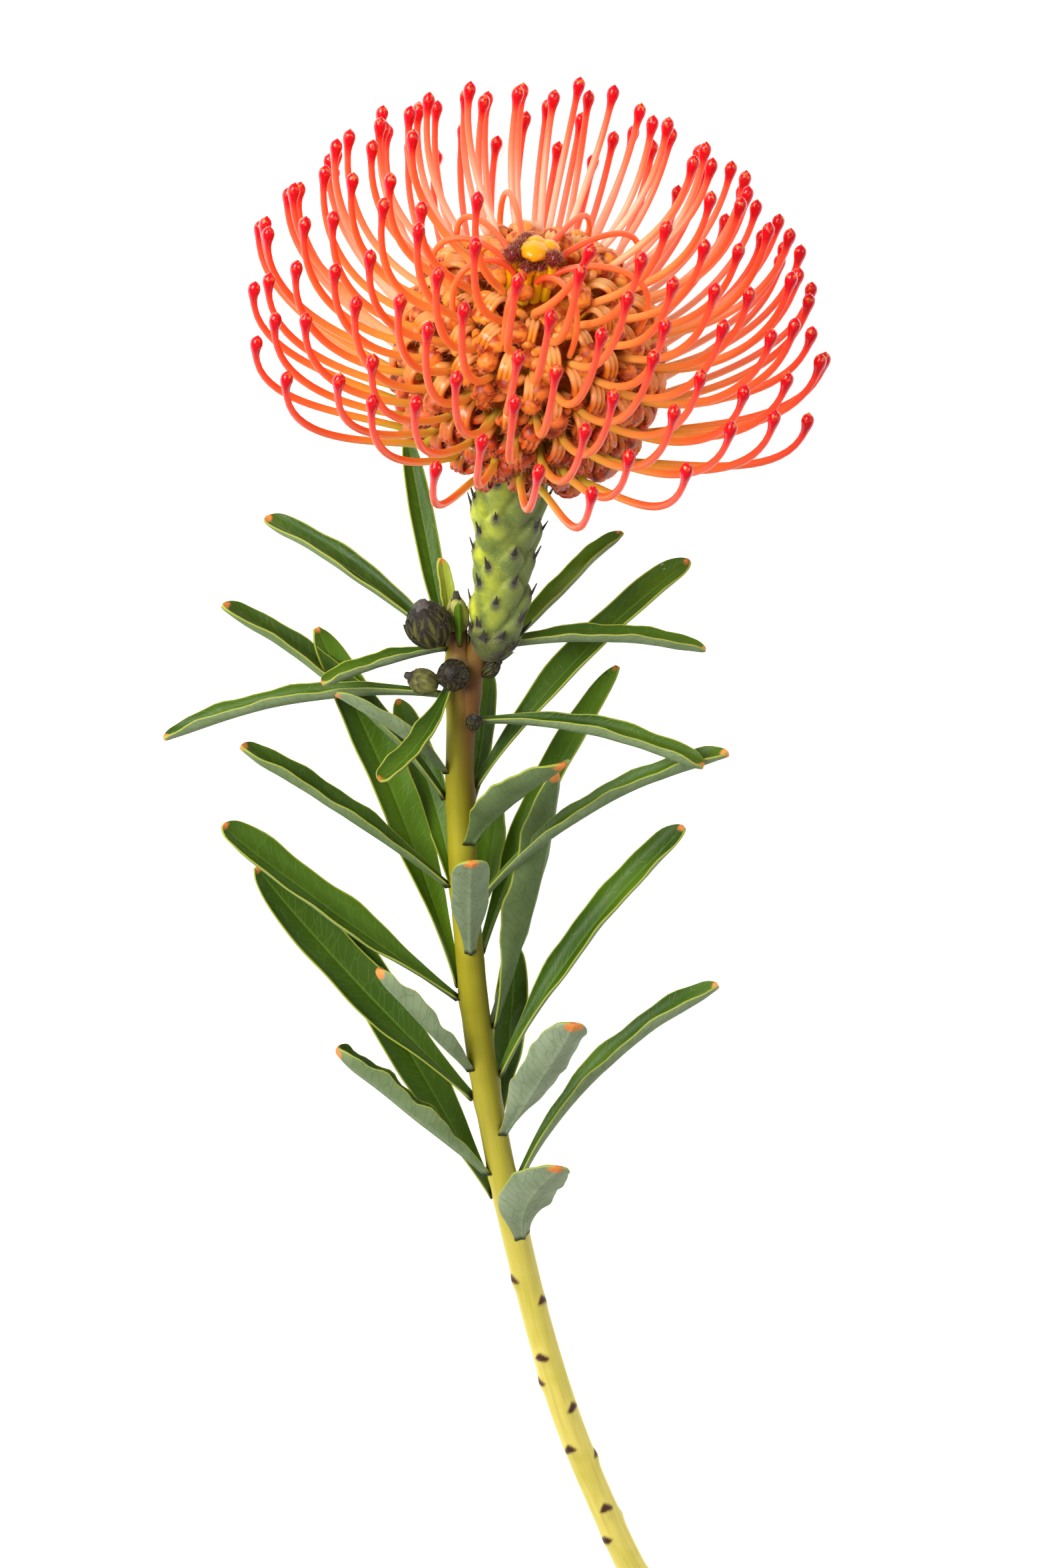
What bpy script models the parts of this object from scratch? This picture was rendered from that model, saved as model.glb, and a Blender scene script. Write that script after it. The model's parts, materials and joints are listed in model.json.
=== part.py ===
"""A cut pincushion protea (Leucospermum) lying on its side: leafy stem, scaly stalk and one flower head.

Lengths in the constants are millimetres. +Y runs along the stem towards the flower, +Z is up.
"""
import math
import random

import bmesh
import bpy
from mathutils import Matrix, Vector

MM = 0.001
GAP = 0.3                      # clearance between pieces that touch
FLOOR_GAP = 0.05               # a leaf or style never comes lower than this
FLOOR_SOFTNESS = 1.0           # how gradually a leaf or style flattens against the surface
CENTRE = (-0.2, -3.2)          # middle of the outline, before it is moved over the origin

# Bare stem: points on its centreline, from the cut end to the flower stalk.
STEM_ROUTE = [(33, -156, 3.0), (25, -139.5, 4.1), (14, -110.5, 6.6), (5, -75, 9.7), (-1.3, -40, 13.1),
              (-4.3, -10, 15.9), (-5.3, 15, 18.3), (-5.2, 34, 20.2), (-5.9, 47, 21.4)]
STEM_RADIUS = 2.85
SHOOT_RADIUS = 1.3             # of the thin shoot beside the flower stalk, where the stem forks
SHOOT_LENGTH = 6

# Flower head: an egg-shaped cushion of florets around the swollen end of the stalk.
HEAD_CENTRE = Vector((7.5, 99.6, 41.0))
HEAD_RISE = 26                 # degrees that the flower looks up from the surface
HEAD_LEAN = 9                  # degrees that it leans to the right
HEAD_RADIUS = 24.5
HEAD_HEIGHT = 26.5             # half of the egg's length along its axis
RECEPTACLE = 0.62              # the receptacle's size as a share of the cushion's
GOLDEN_ANGLE = 137.50776
FIRST_FLORET = 13              # younger ones than this stay closed, in the centre
FLORETS = 156
LOWEST_FLORET = 124            # degrees from the flower's axis
SPIRALS = 13
SPIRAL_TURN = SPIRALS * GOLDEN_ANGLE - 5 * 360
NEXT_SPIRAL = 8                # florets between neighbours of two touching spirals
NEXT_SPIRAL_TURN = NEXT_SPIRAL * GOLDEN_ANGLE - 3 * 360
CROWN_RADIUS = 55              # where the outermost styles end
CROWN_HEIGHT = 50
INNER_TIP = 26                 # degrees from the axis at which the youngest open style ends
OUTER_TIP = 77                 # and the oldest one
STYLE_RADIUS = 0.62
STYLE_FOOT = 0.7
PRESENTER_RADIUS = 1.1
PRESENTER_TIP = 0.45
HOOKED_STYLES = [20, 69, 106, 140, 171, 208, 244, 294, 328]   # degrees around the axis
CENTRE_RADIUS = 4.2            # of the tuft of closed florets, at its shoulder
CENTRE_FOOT = 2.6
CENTRE_HEIGHT = 26
CENTRE_DOME = 3

# Flower stalk: radius at each share of the way from the stem to the cushion's underside.
NECK_ROUTE = [(-2.5, 40.7, 20.9), (1.2, 45.5, 21.9), (2.2, 52, 22.8), (2.9, 60, 24.5), (3.7, 69, 27.2)]
NECK_RADII = [1.3, 4.4, 5.3, 5.6, 6.2, 6.5]
NECK_END = 22                  # how far below the cushion's middle the neck ends
COLLAR_RADIUS = 6.1

LEAF_THICKNESS = 0.6
LEAF_FOLD = (8, 30)            # degrees that each half is folded up, at the stem and beyond its foot
# name: station along the stem, side of the stem (0 right, 90 up, 180 left, 270 down), spread from
# the stem, extra spread gained by the tip, length, width, twist towards the viewer above, sway
LEAVES = {
    "leaf_01": (86, 60, 45, 15, 29, 9.5, -25, 14),
    "leaf_02": (94, 206, 20, 2, 68, 8.5, 40, -2),
    "leaf_03": (97, 352, 54, 22, 56, 7.0, 15, 0),
    "leaf_04": (100, 158, 35, 5, 42, 6.5, -20, -6),
    "leaf_05": (108, 48, 44, 0, 38, 8.5, -30, 0),
    "leaf_06": (110, 300, 30, -8, 34, 7.0, 20, 0),
    "leaf_07": (115, 192, 35, -3, 62, 9.0, 45, 0),
    "leaf_08": (119, 350, 44, 13, 58, 7.5, 40, 0),
    "leaf_09": (122, 145, 33, 0, 31, 5.5, -15, -15),
    "leaf_10": (129, 345, 22, -4, 52, 9.5, 40, -6),
    "leaf_11": (136, 180, 46, 0, 57, 8.5, 35, -3),
    "leaf_12": (138, 205, 17, 8, 75, 9.5, 35, 0),
    "leaf_13": (146, 88, 40, 8, 38, 8.0, 0, 0),
    "leaf_14": (144, 318, 39, 2, 64, 7.5, 35, -10),
    "leaf_15": (150, 300, 30, -10, 24, 6.5, 10, 0),
    "leaf_16": (154, 240, 25, 14, 42, 6.5, 20, 0),
    "leaf_17": (156, 6, 58, 19, 56, 7.0, 15, -5),
    "leaf_18": (159, 174, 49, 7, 49, 7.0, 35, -4),
    "leaf_19": (168, 50, 50, 13, 35, 8.0, 0, 5),
    "leaf_20": (172, 295, 24, -4, 28, 6.0, 0, 2),
    "leaf_21": (176, 192, 47, 14, 57, 7.5, 35, 6),
    "leaf_22": (178, 334, 48, 13, 61, 7.5, 40, 0),
    "leaf_23": (182, 155, 49, 11, 29, 6.0, -20, -20),
    "leaf_24": (192, 12, 95, 17, 43, 6.5, 15, 0),
    "leaf_25": (201, 350, 86, 18, 46, 5.5, 30, 0),
    "leaf_26": (197, 180, 95, 18, 55, 6.5, 25, 0),
    "leaf_27": (199, 318, 60, 12, 44, 6.0, 40, 14),
    "leaf_28": (200, 130, 126, -6, 25, 7.0, 10, -15),
    "leaf_29": (202, 250, 14, 3, 29, 6.5, 20, -2),
    "leaf_30": (204, 164, 99, 10, 24, 5.0, 30, 2),
    "leaf_31": (206, 208, 57, 14, 43, 6.0, 30, -5),
    "leaf_32": (208, 240, 7, 10, 15, 3.0, 0, 0),
    "leaf_33": (207, 80, 12, 0, 9, 3.0, 0, 0),
}

# Side buds: centre, and radius across and along
BUDS = {
    "bud_large": ((-11.2, 48.6, 26.2), 4.5, 5.2),
    "bud_front": ((-6.5, 39.2, 26.4), 3.0, 3.2),
    "bud_left": ((-11.9, 37.7, 25.3), 2.6, 3.0),
    "bud_pale": ((-5.9, 52.4, 22.0), 1.7, 4.4),
    "bud_axil": ((-2.7, 29.6, 23.5), 1.4, 1.7),
    "bud_right": ((-0.5, 37.4, 22.5), 1.6, 1.9),
}


def ease(value, lowest):
    """The value where it is well above lowest, flattening out softly towards lowest below it."""
    over = (value - lowest) / FLOOR_SOFTNESS
    if over > 30:
        return value
    return lowest + FLOOR_SOFTNESS * math.log1p(math.exp(over))


def rest_on_surface(point, clearance):
    return Vector((point.x, point.y, ease(point.z, clearance)))


def smooth_route(points, steps):
    """Catmull-Rom curve through the points."""
    points = [Vector(point) for point in points]
    ends = [2 * points[0] - points[1]] + points + [2 * points[-1] - points[-2]]
    route = []
    for a, b, c, d in zip(ends, ends[1:], ends[2:], ends[3:]):
        for step in range(steps):
            t = step / steps
            route.append(0.5 * (2 * b + (c - a) * t + (2 * a - 5 * b + 4 * c - d) * t ** 2
                                + (3 * b - a - 3 * c + d) * t ** 3))
    return route + [points[-1]]


def bezier(a, b, c, d, t):
    s = 1 - t
    return a * s ** 3 + b * (3 * s * s * t) + c * (3 * s * t * t) + d * t ** 3


STEM_LINE = smooth_route(STEM_ROUTE, 4)
STEM_LENGTH = sum((end - start).length for start, end in zip(STEM_LINE, STEM_LINE[1:]))


def stem_radius(station):
    """The stem keeps its thickness up to the fork, and goes on as the thin shoot."""
    share = min(max((station - STEM_LENGTH + SHOOT_LENGTH) / 3 + 1, 0), 1)
    return STEM_RADIUS + (SHOOT_RADIUS - STEM_RADIUS) * share


def stem_frame(station):
    """Point on the stem's centreline, with its direction, its right side and its upper side."""
    walked = 0
    for start, end in zip(STEM_LINE, STEM_LINE[1:]):
        step = (end - start).length
        if walked + step >= station:
            break
        walked += step
    along = (end - start).normalized()
    right = along.cross(Vector((0, 0, 1))).normalized()
    return start + along * (station - walked), along, right, right.cross(along)


def head_axes():
    rise, lean = math.radians(HEAD_RISE), math.radians(HEAD_LEAN)
    axis = Vector((math.cos(rise) * math.sin(lean), math.cos(rise) * math.cos(lean), math.sin(rise)))
    right = axis.cross(Vector((0, 0, 1))).normalized()
    return right, right.cross(axis), axis


RIGHT, UPWARD, AXIS = head_axes()


def on_head(radius, height, turn):
    """A place given by its distance from the flower's axis, its height along it and its turn in degrees."""
    turn = math.radians(turn)
    return HEAD_CENTRE + RIGHT * radius * math.cos(turn) + UPWARD * radius * math.sin(turn) + AXIS * height


def floret_tilt(number):
    """Angle from the flower's axis in radians: every floret takes the same area of the cushion."""
    share = max(number, 0) / FLORETS
    return math.acos(1 - share * (1 - math.cos(math.radians(LOWEST_FLORET))))


def cushion_point(along_spiral, spiral, size):
    """A point of the cushion, counted in florets along one spiral and in spirals across."""
    tilt = floret_tilt(SPIRALS * along_spiral + NEXT_SPIRAL * spiral)
    turn = along_spiral * SPIRAL_TURN + spiral * NEXT_SPIRAL_TURN
    return on_head(size * HEAD_RADIUS * math.sin(tilt), size * HEAD_HEIGHT * math.cos(tilt), turn)


def style_route(number):
    """Four control points of an open floret's style: it leaves the cushion, then curves up to its tip."""
    chance = random.Random(number)
    age = (number - FIRST_FLORET) / (FLORETS - FIRST_FLORET)
    tilt = floret_tilt(number)
    turn = number * GOLDEN_ANGLE
    tip_tilt = math.radians(INNER_TIP + (OUTER_TIP - INNER_TIP) * age ** 0.85 + chance.uniform(-2, 2))
    tip_size = chance.uniform(0.97, 1.03)
    start = Vector((HEAD_RADIUS * math.sin(tilt), HEAD_HEIGHT * math.cos(tilt)))
    tip = Vector((CROWN_RADIUS * math.sin(tip_tilt), CROWN_HEIGHT * math.cos(tip_tilt))) * tip_size
    reach = (tip - start).length
    leaving = tilt + math.radians(18 * (1 - age) - 50 * age ** 2)
    first = start + Vector((math.sin(leaving), math.cos(leaving))) * reach * 0.45
    second = tip - Vector((-0.14 * age, 1)).normalized() * reach * (0.36 + 0.1 * age)
    swing = chance.uniform(-2.5, 2.5)
    return [on_head(start.x, start.y, turn), on_head(first.x, first.y, turn + swing * 0.3),
            on_head(second.x, second.y, turn + swing * 0.8), on_head(tip.x, tip.y, turn + swing)]


def hooked_route(turn):
    """Control points of a style that is still held at its tip, so that it bows out in a loop."""
    chance = random.Random(turn)
    out = chance.uniform(15.5, 17)
    return [on_head(4.0, 28.5, turn), on_head(8.5, 38, turn), on_head(out + 10, 35, turn),
            on_head(out + 6.6, 19.5, turn)]


def material(name, colour, roughness):
    made = bpy.data.materials.new(name)
    made.use_nodes = True
    shader = made.node_tree.nodes["Principled BSDF"]
    shader.inputs["Base Color"].default_value = (*colour, 1)
    shader.inputs["Roughness"].default_value = roughness
    shader.inputs["Metallic"].default_value = 0
    made.diffuse_color = (*colour, 1)
    return made


def add_object(name, data, surface):
    made = bpy.data.objects.new(name, data)
    data.materials.append(surface)
    bpy.data.collections["pincushion_protea"].objects.link(made)
    made.parent = bpy.data.objects["flower"]
    return made


def face_outwards(bm):
    bmesh.ops.recalc_face_normals(bm, faces=bm.faces)
    if bm.calc_volume(signed=True) < 0:
        bmesh.ops.reverse_faces(bm, faces=bm.faces)


def mesh_object(name, bm, surface):
    bmesh.ops.scale(bm, vec=(MM, MM, MM), verts=bm.verts)
    mesh = bpy.data.meshes.new(name)
    bm.to_mesh(mesh)
    bm.free()
    mesh.shade_smooth()
    mesh.set_sharp_from_angle(angle=math.radians(50))
    return add_object(name, mesh, surface)


def tube(name, points, radii, surface, bevel_resolution):
    """A round rod along the points, with a radius at each."""
    curve = bpy.data.curves.new(name, "CURVE")
    curve.dimensions = "3D"
    curve.bevel_depth = MM
    curve.bevel_resolution = bevel_resolution
    curve.use_fill_caps = True
    spline = curve.splines.new("POLY")
    spline.points.add(len(points) - 1)
    for target, point, radius in zip(spline.points, points, radii):
        target.co = (*(point * MM), 1)
        target.radius = radius
    return add_object(name, curve, surface)


def grow_style(bm, face, route):
    """Extrude a face of the bed into a style: a thin shaft that ends in the thicker pollen presenter."""
    shares = [0.0, 0.2, 0.42, 0.65, 0.9, 0.955, 1.0]
    radii = [STYLE_FOOT] + [STYLE_RADIUS] * 4 + [PRESENTER_RADIUS, PRESENTER_TIP]
    middle = face.calc_center_median()
    heading = face.normal.normalized()
    spokes = [(vert.co - middle).normalized() for vert in face.verts]
    for share, radius in zip(shares, radii):
        face = bmesh.ops.extrude_discrete_faces(bm, faces=[face])["faces"][0]
        point = rest_on_surface(bezier(*route, share), radius + FLOOR_GAP)
        ahead = rest_on_surface(bezier(*route, share + 0.02), radius + FLOOR_GAP)
        along = (ahead - point).normalized()
        if share > 0:
            turned = heading.rotation_difference(along)
            spokes = [turned @ spoke for spoke in spokes]
            heading = along
        else:
            point = middle
        for vert, spoke in zip(face.verts, spokes):
            vert.co = point + spoke * radius
    return face


def floret_spiral(name, spiral, surface):
    """One spiral row of florets: its strip of the cushion, and a style from each floret."""
    bm = bmesh.new()
    first = math.ceil((FIRST_FLORET - NEXT_SPIRAL * spiral) / SPIRALS)
    count = FLORETS // SPIRALS - 1
    half = 0.48                # of the way to the next row: the gap between them takes the rest
    rungs = []
    for step in range(count + 1):
        along = first + step - 0.5
        rungs.append([bm.verts.new(cushion_point(along, spiral + side, 1)) for side in (-half, half)])
    cells = []
    for low, high in zip(rungs, rungs[1:]):
        cells.append(bm.faces.new((low[0], low[1], high[1], high[0])))
    inner = bmesh.ops.extrude_face_region(bm, geom=cells, use_keep_orig=True)
    depth = RECEPTACLE + GAP / HEAD_RADIUS
    for item in inner["geom"]:
        if isinstance(item, bmesh.types.BMVert):
            item.co = HEAD_CENTRE + (item.co - HEAD_CENTRE) * depth
    face_outwards(bm)
    for step, cell in enumerate(cells):
        number = SPIRALS * (first + step) + NEXT_SPIRAL * spiral
        grow_style(bm, cell, style_route(number))
    return mesh_object(name, bm, surface)


def centre_florets(surface):
    """The closed florets at the top of the head, with the hooked styles that bow out of them."""
    bm = bmesh.new()
    low = RECEPTACLE * HEAD_HEIGHT + GAP
    bmesh.ops.create_cone(bm, cap_ends=True, segments=len(HOOKED_STYLES), radius1=CENTRE_FOOT,
                          radius2=CENTRE_RADIUS, depth=CENTRE_HEIGHT - low,
                          matrix=Matrix.Translation((0, 0, (CENTRE_HEIGHT + low) / 2)))
    top = max(bm.faces, key=lambda face: face.calc_center_median().z)
    shoulder = bmesh.ops.inset_region(bm, faces=[top], thickness=CENTRE_RADIUS - 2, depth=0)["faces"]
    bmesh.ops.translate(bm, verts=top.verts, vec=(0, 0, CENTRE_DOME))
    for vert in bm.verts:
        local = vert.co.copy()
        vert.co = HEAD_CENTRE + RIGHT * local.x + UPWARD * local.y + AXIS * local.z
    face_outwards(bm)
    for turn in HOOKED_STYLES:
        aim = on_head(CENTRE_RADIUS, CENTRE_HEIGHT + CENTRE_DOME, turn)
        face = min(shoulder, key=lambda face: (face.calc_center_median() - aim).length)
        shoulder.remove(face)
        grow_style(bm, face, hooked_route(turn))
    return mesh_object("centre_florets", bm, surface)


def flower_stalk(surface):
    """The neck below the head and its swollen end inside the florets."""
    steps = 3
    points = smooth_route(NECK_ROUTE + [on_head(0, -NECK_END, 0)], steps)
    radii = []
    for step in range(len(points)):
        share = min(step / steps, len(NECK_RADII) - 1)
        low = int(share)
        high = min(low + 1, len(NECK_RADII) - 1)
        radii.append(NECK_RADII[low] + (NECK_RADII[high] - NECK_RADII[low]) * (share - low))
    top = RECEPTACLE * HEAD_HEIGHT
    for height in (-18, -15, -10, 0, 8, 13, top - 0.2):
        share = math.sqrt(max(0, 1 - (height / top) ** 2))
        wide = max(RECEPTACLE * HEAD_RADIUS * share, SHOOT_RADIUS)
        if height < -14:
            wide = COLLAR_RADIUS
        points.append(on_head(0, height, 0))
        radii.append(wide)
    return tube("flower_stalk", points, radii, surface, 3)


def leaf_sheet(name, lengthwise, crosswise):
    """Rows of points over a leaf: it arches away from the stem, twists and is folded along its midrib."""
    station, side, spread, bow, length, width, twist, sway = LEAVES[name]
    root, along, right, over = stem_frame(station)
    side = math.radians(side)
    away = right * math.cos(side) + over * math.sin(side)
    point = root + away * (stem_radius(station) + GAP + 0.6 * LEAF_THICKNESS)
    across = along.cross(away)
    rows = []
    for step in range(lengthwise + 1):
        share = step / lengthwise
        lean = math.radians(spread - bow + 2 * bow * share)
        heading = along * math.cos(lean) + away * math.sin(lean)
        heading = (heading + across * math.tan(math.radians(sway * (2 * share - 1)))).normalized()
        if step:
            point = point + heading * length / lengthwise
        upper = along * math.sin(lean) - away * math.cos(lean)
        flat = heading.cross(upper)
        turn = math.radians(twist) * min(share / 0.35, 1)
        if flat.z < 0:
            turn = -turn
        up = upper * math.cos(turn) + flat * math.sin(turn)
        wide = flat * math.cos(turn) - upper * math.sin(turn)
        fold = math.radians(LEAF_FOLD[0] + (LEAF_FOLD[1] - LEAF_FOLD[0]) * min(share / 0.2, 1))
        half = 0.5 * width * leaf_width(share)
        row = []
        for place in range(crosswise + 1):
            offset = 2 * place / crosswise - 1
            raised = (abs(offset) - 0.5) * math.sin(fold)
            spot = point + (wide * offset * math.cos(fold) + up * raised) * half
            row.append(rest_on_surface(spot, LEAF_THICKNESS / 2 + FLOOR_GAP))
        rows.append(row)
    return rows


def leaf_width(share):
    """Width at a share of the length: narrow at the stem, widest past the middle, round at the tip."""
    if share < 0.55:
        rise = share / 0.55
        return 0.3 + 0.7 * rise * rise * (3 - 2 * rise)
    return max(0.12, (1 - ((share - 0.55) / 0.45) ** 2) ** 0.6)


def leaf(name, surface):
    rows = leaf_sheet(name, 8, 2)
    bm = bmesh.new()
    grid = [[bm.verts.new(point) for point in row] for row in rows]
    for low, high in zip(grid, grid[1:]):
        for side in range(len(low) - 1):
            bm.faces.new((low[side], low[side + 1], high[side + 1], high[side]))
    made = mesh_object(name, bm, surface)
    thick = made.modifiers.new("thickness", "SOLIDIFY")
    thick.thickness = LEAF_THICKNESS * MM
    thick.offset = 0
    return made


def bud(name, surface):
    centre, across, along = BUDS[name]
    bm = bmesh.new()
    bmesh.ops.create_uvsphere(bm, u_segments=8, v_segments=6, radius=1)
    bmesh.ops.scale(bm, vec=(across, along, across), verts=bm.verts)
    bmesh.ops.translate(bm, vec=centre, verts=bm.verts)
    return mesh_object(name, bm, surface)


def main():
    for old in list(bpy.data.objects):
        bpy.data.objects.remove(old)
    collection = bpy.data.collections.new("pincushion_protea")
    bpy.context.scene.collection.children.link(collection)
    flower = bpy.data.objects.new("flower", None)
    flower.location = (-CENTRE[0] * MM, -CENTRE[1] * MM, 0)
    collection.objects.link(flower)

    bark = material("stem_green", (0.55, 0.46, 0.08), 0.5)
    neck_green = material("stalk_green", (0.33, 0.36, 0.07), 0.6)
    coral = material("floret_coral", (0.88, 0.19, 0.07), 0.4)
    amber = material("closed_floret_yellow", (0.85, 0.42, 0.06), 0.5)
    leaf_green = material("leaf_green", (0.06, 0.13, 0.02), 0.45)
    bud_green = material("bud_dark_green", (0.09, 0.09, 0.04), 0.8)

    stations = [0.0]
    for start, end in zip(STEM_LINE, STEM_LINE[1:]):
        stations.append(stations[-1] + (end - start).length)
    tube("stem", STEM_LINE, [stem_radius(station) for station in stations], bark, 3)
    flower_stalk(neck_green)
    for spiral in range(SPIRALS):
        floret_spiral(f"floret_spiral_{spiral + 1:02d}", spiral, coral)
    centre_florets(amber)
    for name in LEAVES:
        leaf(name, leaf_green)
    for name in BUDS:
        bud(name, bud_green)


main()
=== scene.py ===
import json
import math
import random

import bpy
from mathutils import Matrix, Vector

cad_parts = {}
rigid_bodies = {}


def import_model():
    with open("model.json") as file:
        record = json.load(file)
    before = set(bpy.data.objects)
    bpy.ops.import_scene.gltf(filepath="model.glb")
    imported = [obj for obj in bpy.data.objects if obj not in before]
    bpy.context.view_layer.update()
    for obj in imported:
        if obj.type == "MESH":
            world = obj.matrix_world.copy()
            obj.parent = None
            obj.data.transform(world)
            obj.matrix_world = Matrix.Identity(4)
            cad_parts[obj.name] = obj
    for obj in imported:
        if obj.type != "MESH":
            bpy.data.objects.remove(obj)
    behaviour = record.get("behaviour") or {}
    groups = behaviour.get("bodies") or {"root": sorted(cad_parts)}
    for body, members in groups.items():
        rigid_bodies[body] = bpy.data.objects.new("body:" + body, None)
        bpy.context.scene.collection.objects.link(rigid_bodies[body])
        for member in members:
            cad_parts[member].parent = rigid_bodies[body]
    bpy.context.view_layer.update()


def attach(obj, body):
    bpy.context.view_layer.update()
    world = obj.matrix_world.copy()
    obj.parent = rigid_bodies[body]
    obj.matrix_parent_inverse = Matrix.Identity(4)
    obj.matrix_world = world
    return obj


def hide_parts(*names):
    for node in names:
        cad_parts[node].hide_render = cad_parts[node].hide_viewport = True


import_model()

# Looks of a cut pincushion protea that lies on a white table: stem, leaves, side buds, scaly stalk and
# head. Sizes are millimetres, and MM turns them to metres. +Y runs along the stem to the flower, +Z is up.
MM = 0.001
UP = Vector((0, 0, 1))


# ------------------------------------------------------------------------------------------------
# Table, light and camera. The flower lies on a plain white table under soft studio light that comes
# from all sides, a little more from the upper left. The camera looks down on it from 0.9 m.
CAMERA_AIM = Vector((6.7, 20.2, 20.0))
CAMERA_TILT = 12                          # degrees from straight down
CAMERA_DISTANCE = 900
CAMERA_LENS = 108.8                       # with a 36 mm high sensor
SENSOR_HEIGHT = 36
TABLE_SIDE = 4000
TABLE_GLOW = 0.72
DAYLIGHT = 0.31
LIGHT_AIM = Vector((0, 60, 30))
LIGHTS = {                                # place, side of the square lamp, watts
    "key": (Vector((-480, 330, 720)), 520, 11.6),
    "fill": (Vector((620, 150, 560)), 500, 1.2),
}


def linear(colour):
    """Turns an sRGB colour such as "c8b45a" to the linear values that a shader takes."""
    parts = [int(colour[place:place + 2], 16) / 255 for place in (0, 2, 4)]
    return (*[part / 12.92 if part < 0.04045 else ((part + 0.055) / 1.055) ** 2.4 for part in parts], 1)


def add_node(tree, kind, inputs=(), **settings):
    """Adds a node. inputs gives, in order or by name or number, a value, or a node or its output to link."""
    made = tree.nodes.new(kind)
    for setting, value in settings.items():
        setattr(made, setting, value)
    for place, value in (inputs if isinstance(inputs, dict) else dict(enumerate(inputs))).items():
        if isinstance(value, bpy.types.Node):
            value = value.outputs[0]
        if isinstance(value, bpy.types.NodeSocket):
            tree.links.new(value, made.inputs[place])
        else:
            made.inputs[place].default_value = value
    return made


def new_finish(name, marks="", **constants):
    """A material, with the values that are the same all over set on its shader.

    Comes with its node tree, its shader, the object's coordinates and the mesh's marks that it reads.
    """
    made = bpy.data.materials.new(name)
    made.use_nodes = True
    tree = made.node_tree
    shader = tree.nodes["Principled BSDF"]
    for socket, value in constants.items():
        shader.inputs[socket.replace("_", " ")].default_value = value
    where = add_node(tree, "ShaderNodeTexCoord").outputs["Object"]
    marks = {mark: add_node(tree, "ShaderNodeAttribute", attribute_name=mark).outputs["Fac"]
             for mark in marks.split()}
    return made, tree, shader, where, marks


def lay_coats(tree, colour, *coats):
    """Lays coats over a colour, each given as its colour and how much of it shows.

    How much is a value, or several that are multiplied. (value, low, high, at low, at high) spreads a value.
    """
    for coat, *amounts in coats:
        amounts = [add_node(tree, "ShaderNodeMapRange", amount) if isinstance(amount, tuple) else amount
                   for amount in amounts]
        shows = amounts[0]
        for amount in amounts[1:]:
            shows = add_node(tree, "ShaderNodeMath", (shows, amount), operation="MULTIPLY")
        colours = [linear(one) if isinstance(one, str) else one for one in (colour, coat)]
        colour = add_node(tree, "ShaderNodeMix", {0: shows, 6: colours[0], 7: colours[1]},
                          data_type="RGBA").outputs[2]
    return colour


def dress(tree, shader, **looks):
    """Links a finish's colour, roughness or normal. A tuple is a bump's (height, strength, depth)."""
    for socket, value in looks.items():
        if isinstance(value, tuple):
            value = add_node(tree, "ShaderNodeBump", dict(zip(("Height", "Strength", "Distance"), value)))
        if isinstance(value, bpy.types.Node):
            value = value.outputs[0]
        tree.links.new(value, shader.inputs[socket.replace("_", " ")])


def link_object(name, data):
    made = bpy.data.objects.new(name, data)
    bpy.context.scene.collection.objects.link(made)
    return made


# Laminate is matt and even. It glows a little, as a lit table does, so that it shows no hard shadow.
table_white, tree, shader, where, _ = new_finish(
    "matt_white_laminate", Roughness=0.9, Specular_IOR_Level=0.2, Emission_Color=(1, 1, 1, 1),
    Emission_Strength=TABLE_GLOW)
grain = add_node(tree, "ShaderNodeTexNoise", {"Scale": 900.0, "Detail": 2.0})
dress(tree, shader, Base_Color=lay_coats(tree, "f6f6f5", ("fafafa", grain)))

half = TABLE_SIDE / 2 * MM
table_mesh = bpy.data.meshes.new("table")
corners = [(-half, -half, 0), (half, -half, 0), (half, half, 0), (-half, half, 0)]
table_mesh.from_pydata(corners, [], [(0, 1, 2, 3)])
table_mesh.materials.append(table_white)
table = link_object("table", table_mesh)

world = bpy.data.worlds.new("white_studio")
bpy.context.scene.world = world
world.use_nodes = True
world.node_tree.nodes["Background"].inputs["Color"].default_value = (1, 1, 1, 1)
world.node_tree.nodes["Background"].inputs["Strength"].default_value = DAYLIGHT

for name, (place, side, watts) in LIGHTS.items():
    lamp = bpy.data.lights.new(name, "AREA")
    lamp.size = side * MM
    lamp.energy = watts
    light = link_object(name + "_light", lamp)
    light.location = place * MM
    light.rotation_euler = (LIGHT_AIM - place).to_track_quat("-Z", "Y").to_euler()

camera = bpy.data.cameras.new("camera")
camera.sensor_fit = "VERTICAL"
camera.sensor_height = SENSOR_HEIGHT
camera.lens = CAMERA_LENS
camera_object = link_object("camera", camera)
tilt = math.radians(CAMERA_TILT)
camera_object.location = (CAMERA_AIM + Vector((0, math.sin(tilt), math.cos(tilt))) * CAMERA_DISTANCE) * MM
camera_object.rotation_euler = (-tilt, 0, 0)
bpy.context.scene.camera = camera_object
bpy.context.scene.view_settings.view_transform = "Standard"


# ------------------------------------------------------------------------------------------------
# Stem. A young woody shoot, cut straight across at its lower end. Its leaves were stripped from the
# lower part, which leaves small dark scars on raised cushions of bark.
SHIFT = Vector((0.2, 3.2, 0))             # from the stem's own axes to the middle of the outline
STEM_ROUTE = [(33, -156, 3.0), (25, -139.5, 4.1), (14, -110.5, 6.6), (5, -75, 9.7), (-1.3, -40, 13.1),
              (-4.3, -10, 15.9), (-5.3, 15, 18.3), (-5.2, 34, 20.2), (-5.9, 47, 21.4)]
STEM_RADIUS = 2.85
SHOOT_RADIUS = 2.1                        # of the thin shoot beside the flower stalk, where the stem forks
SHOOT_LENGTH = 6
STEM_SIDES = 48
STEM_STEP = 0.4                           # between rings
SHADY_TURN = 0.35                         # radians from the stem's right to the side that stays shady
SCAR_WIDTH = 3.2
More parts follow.
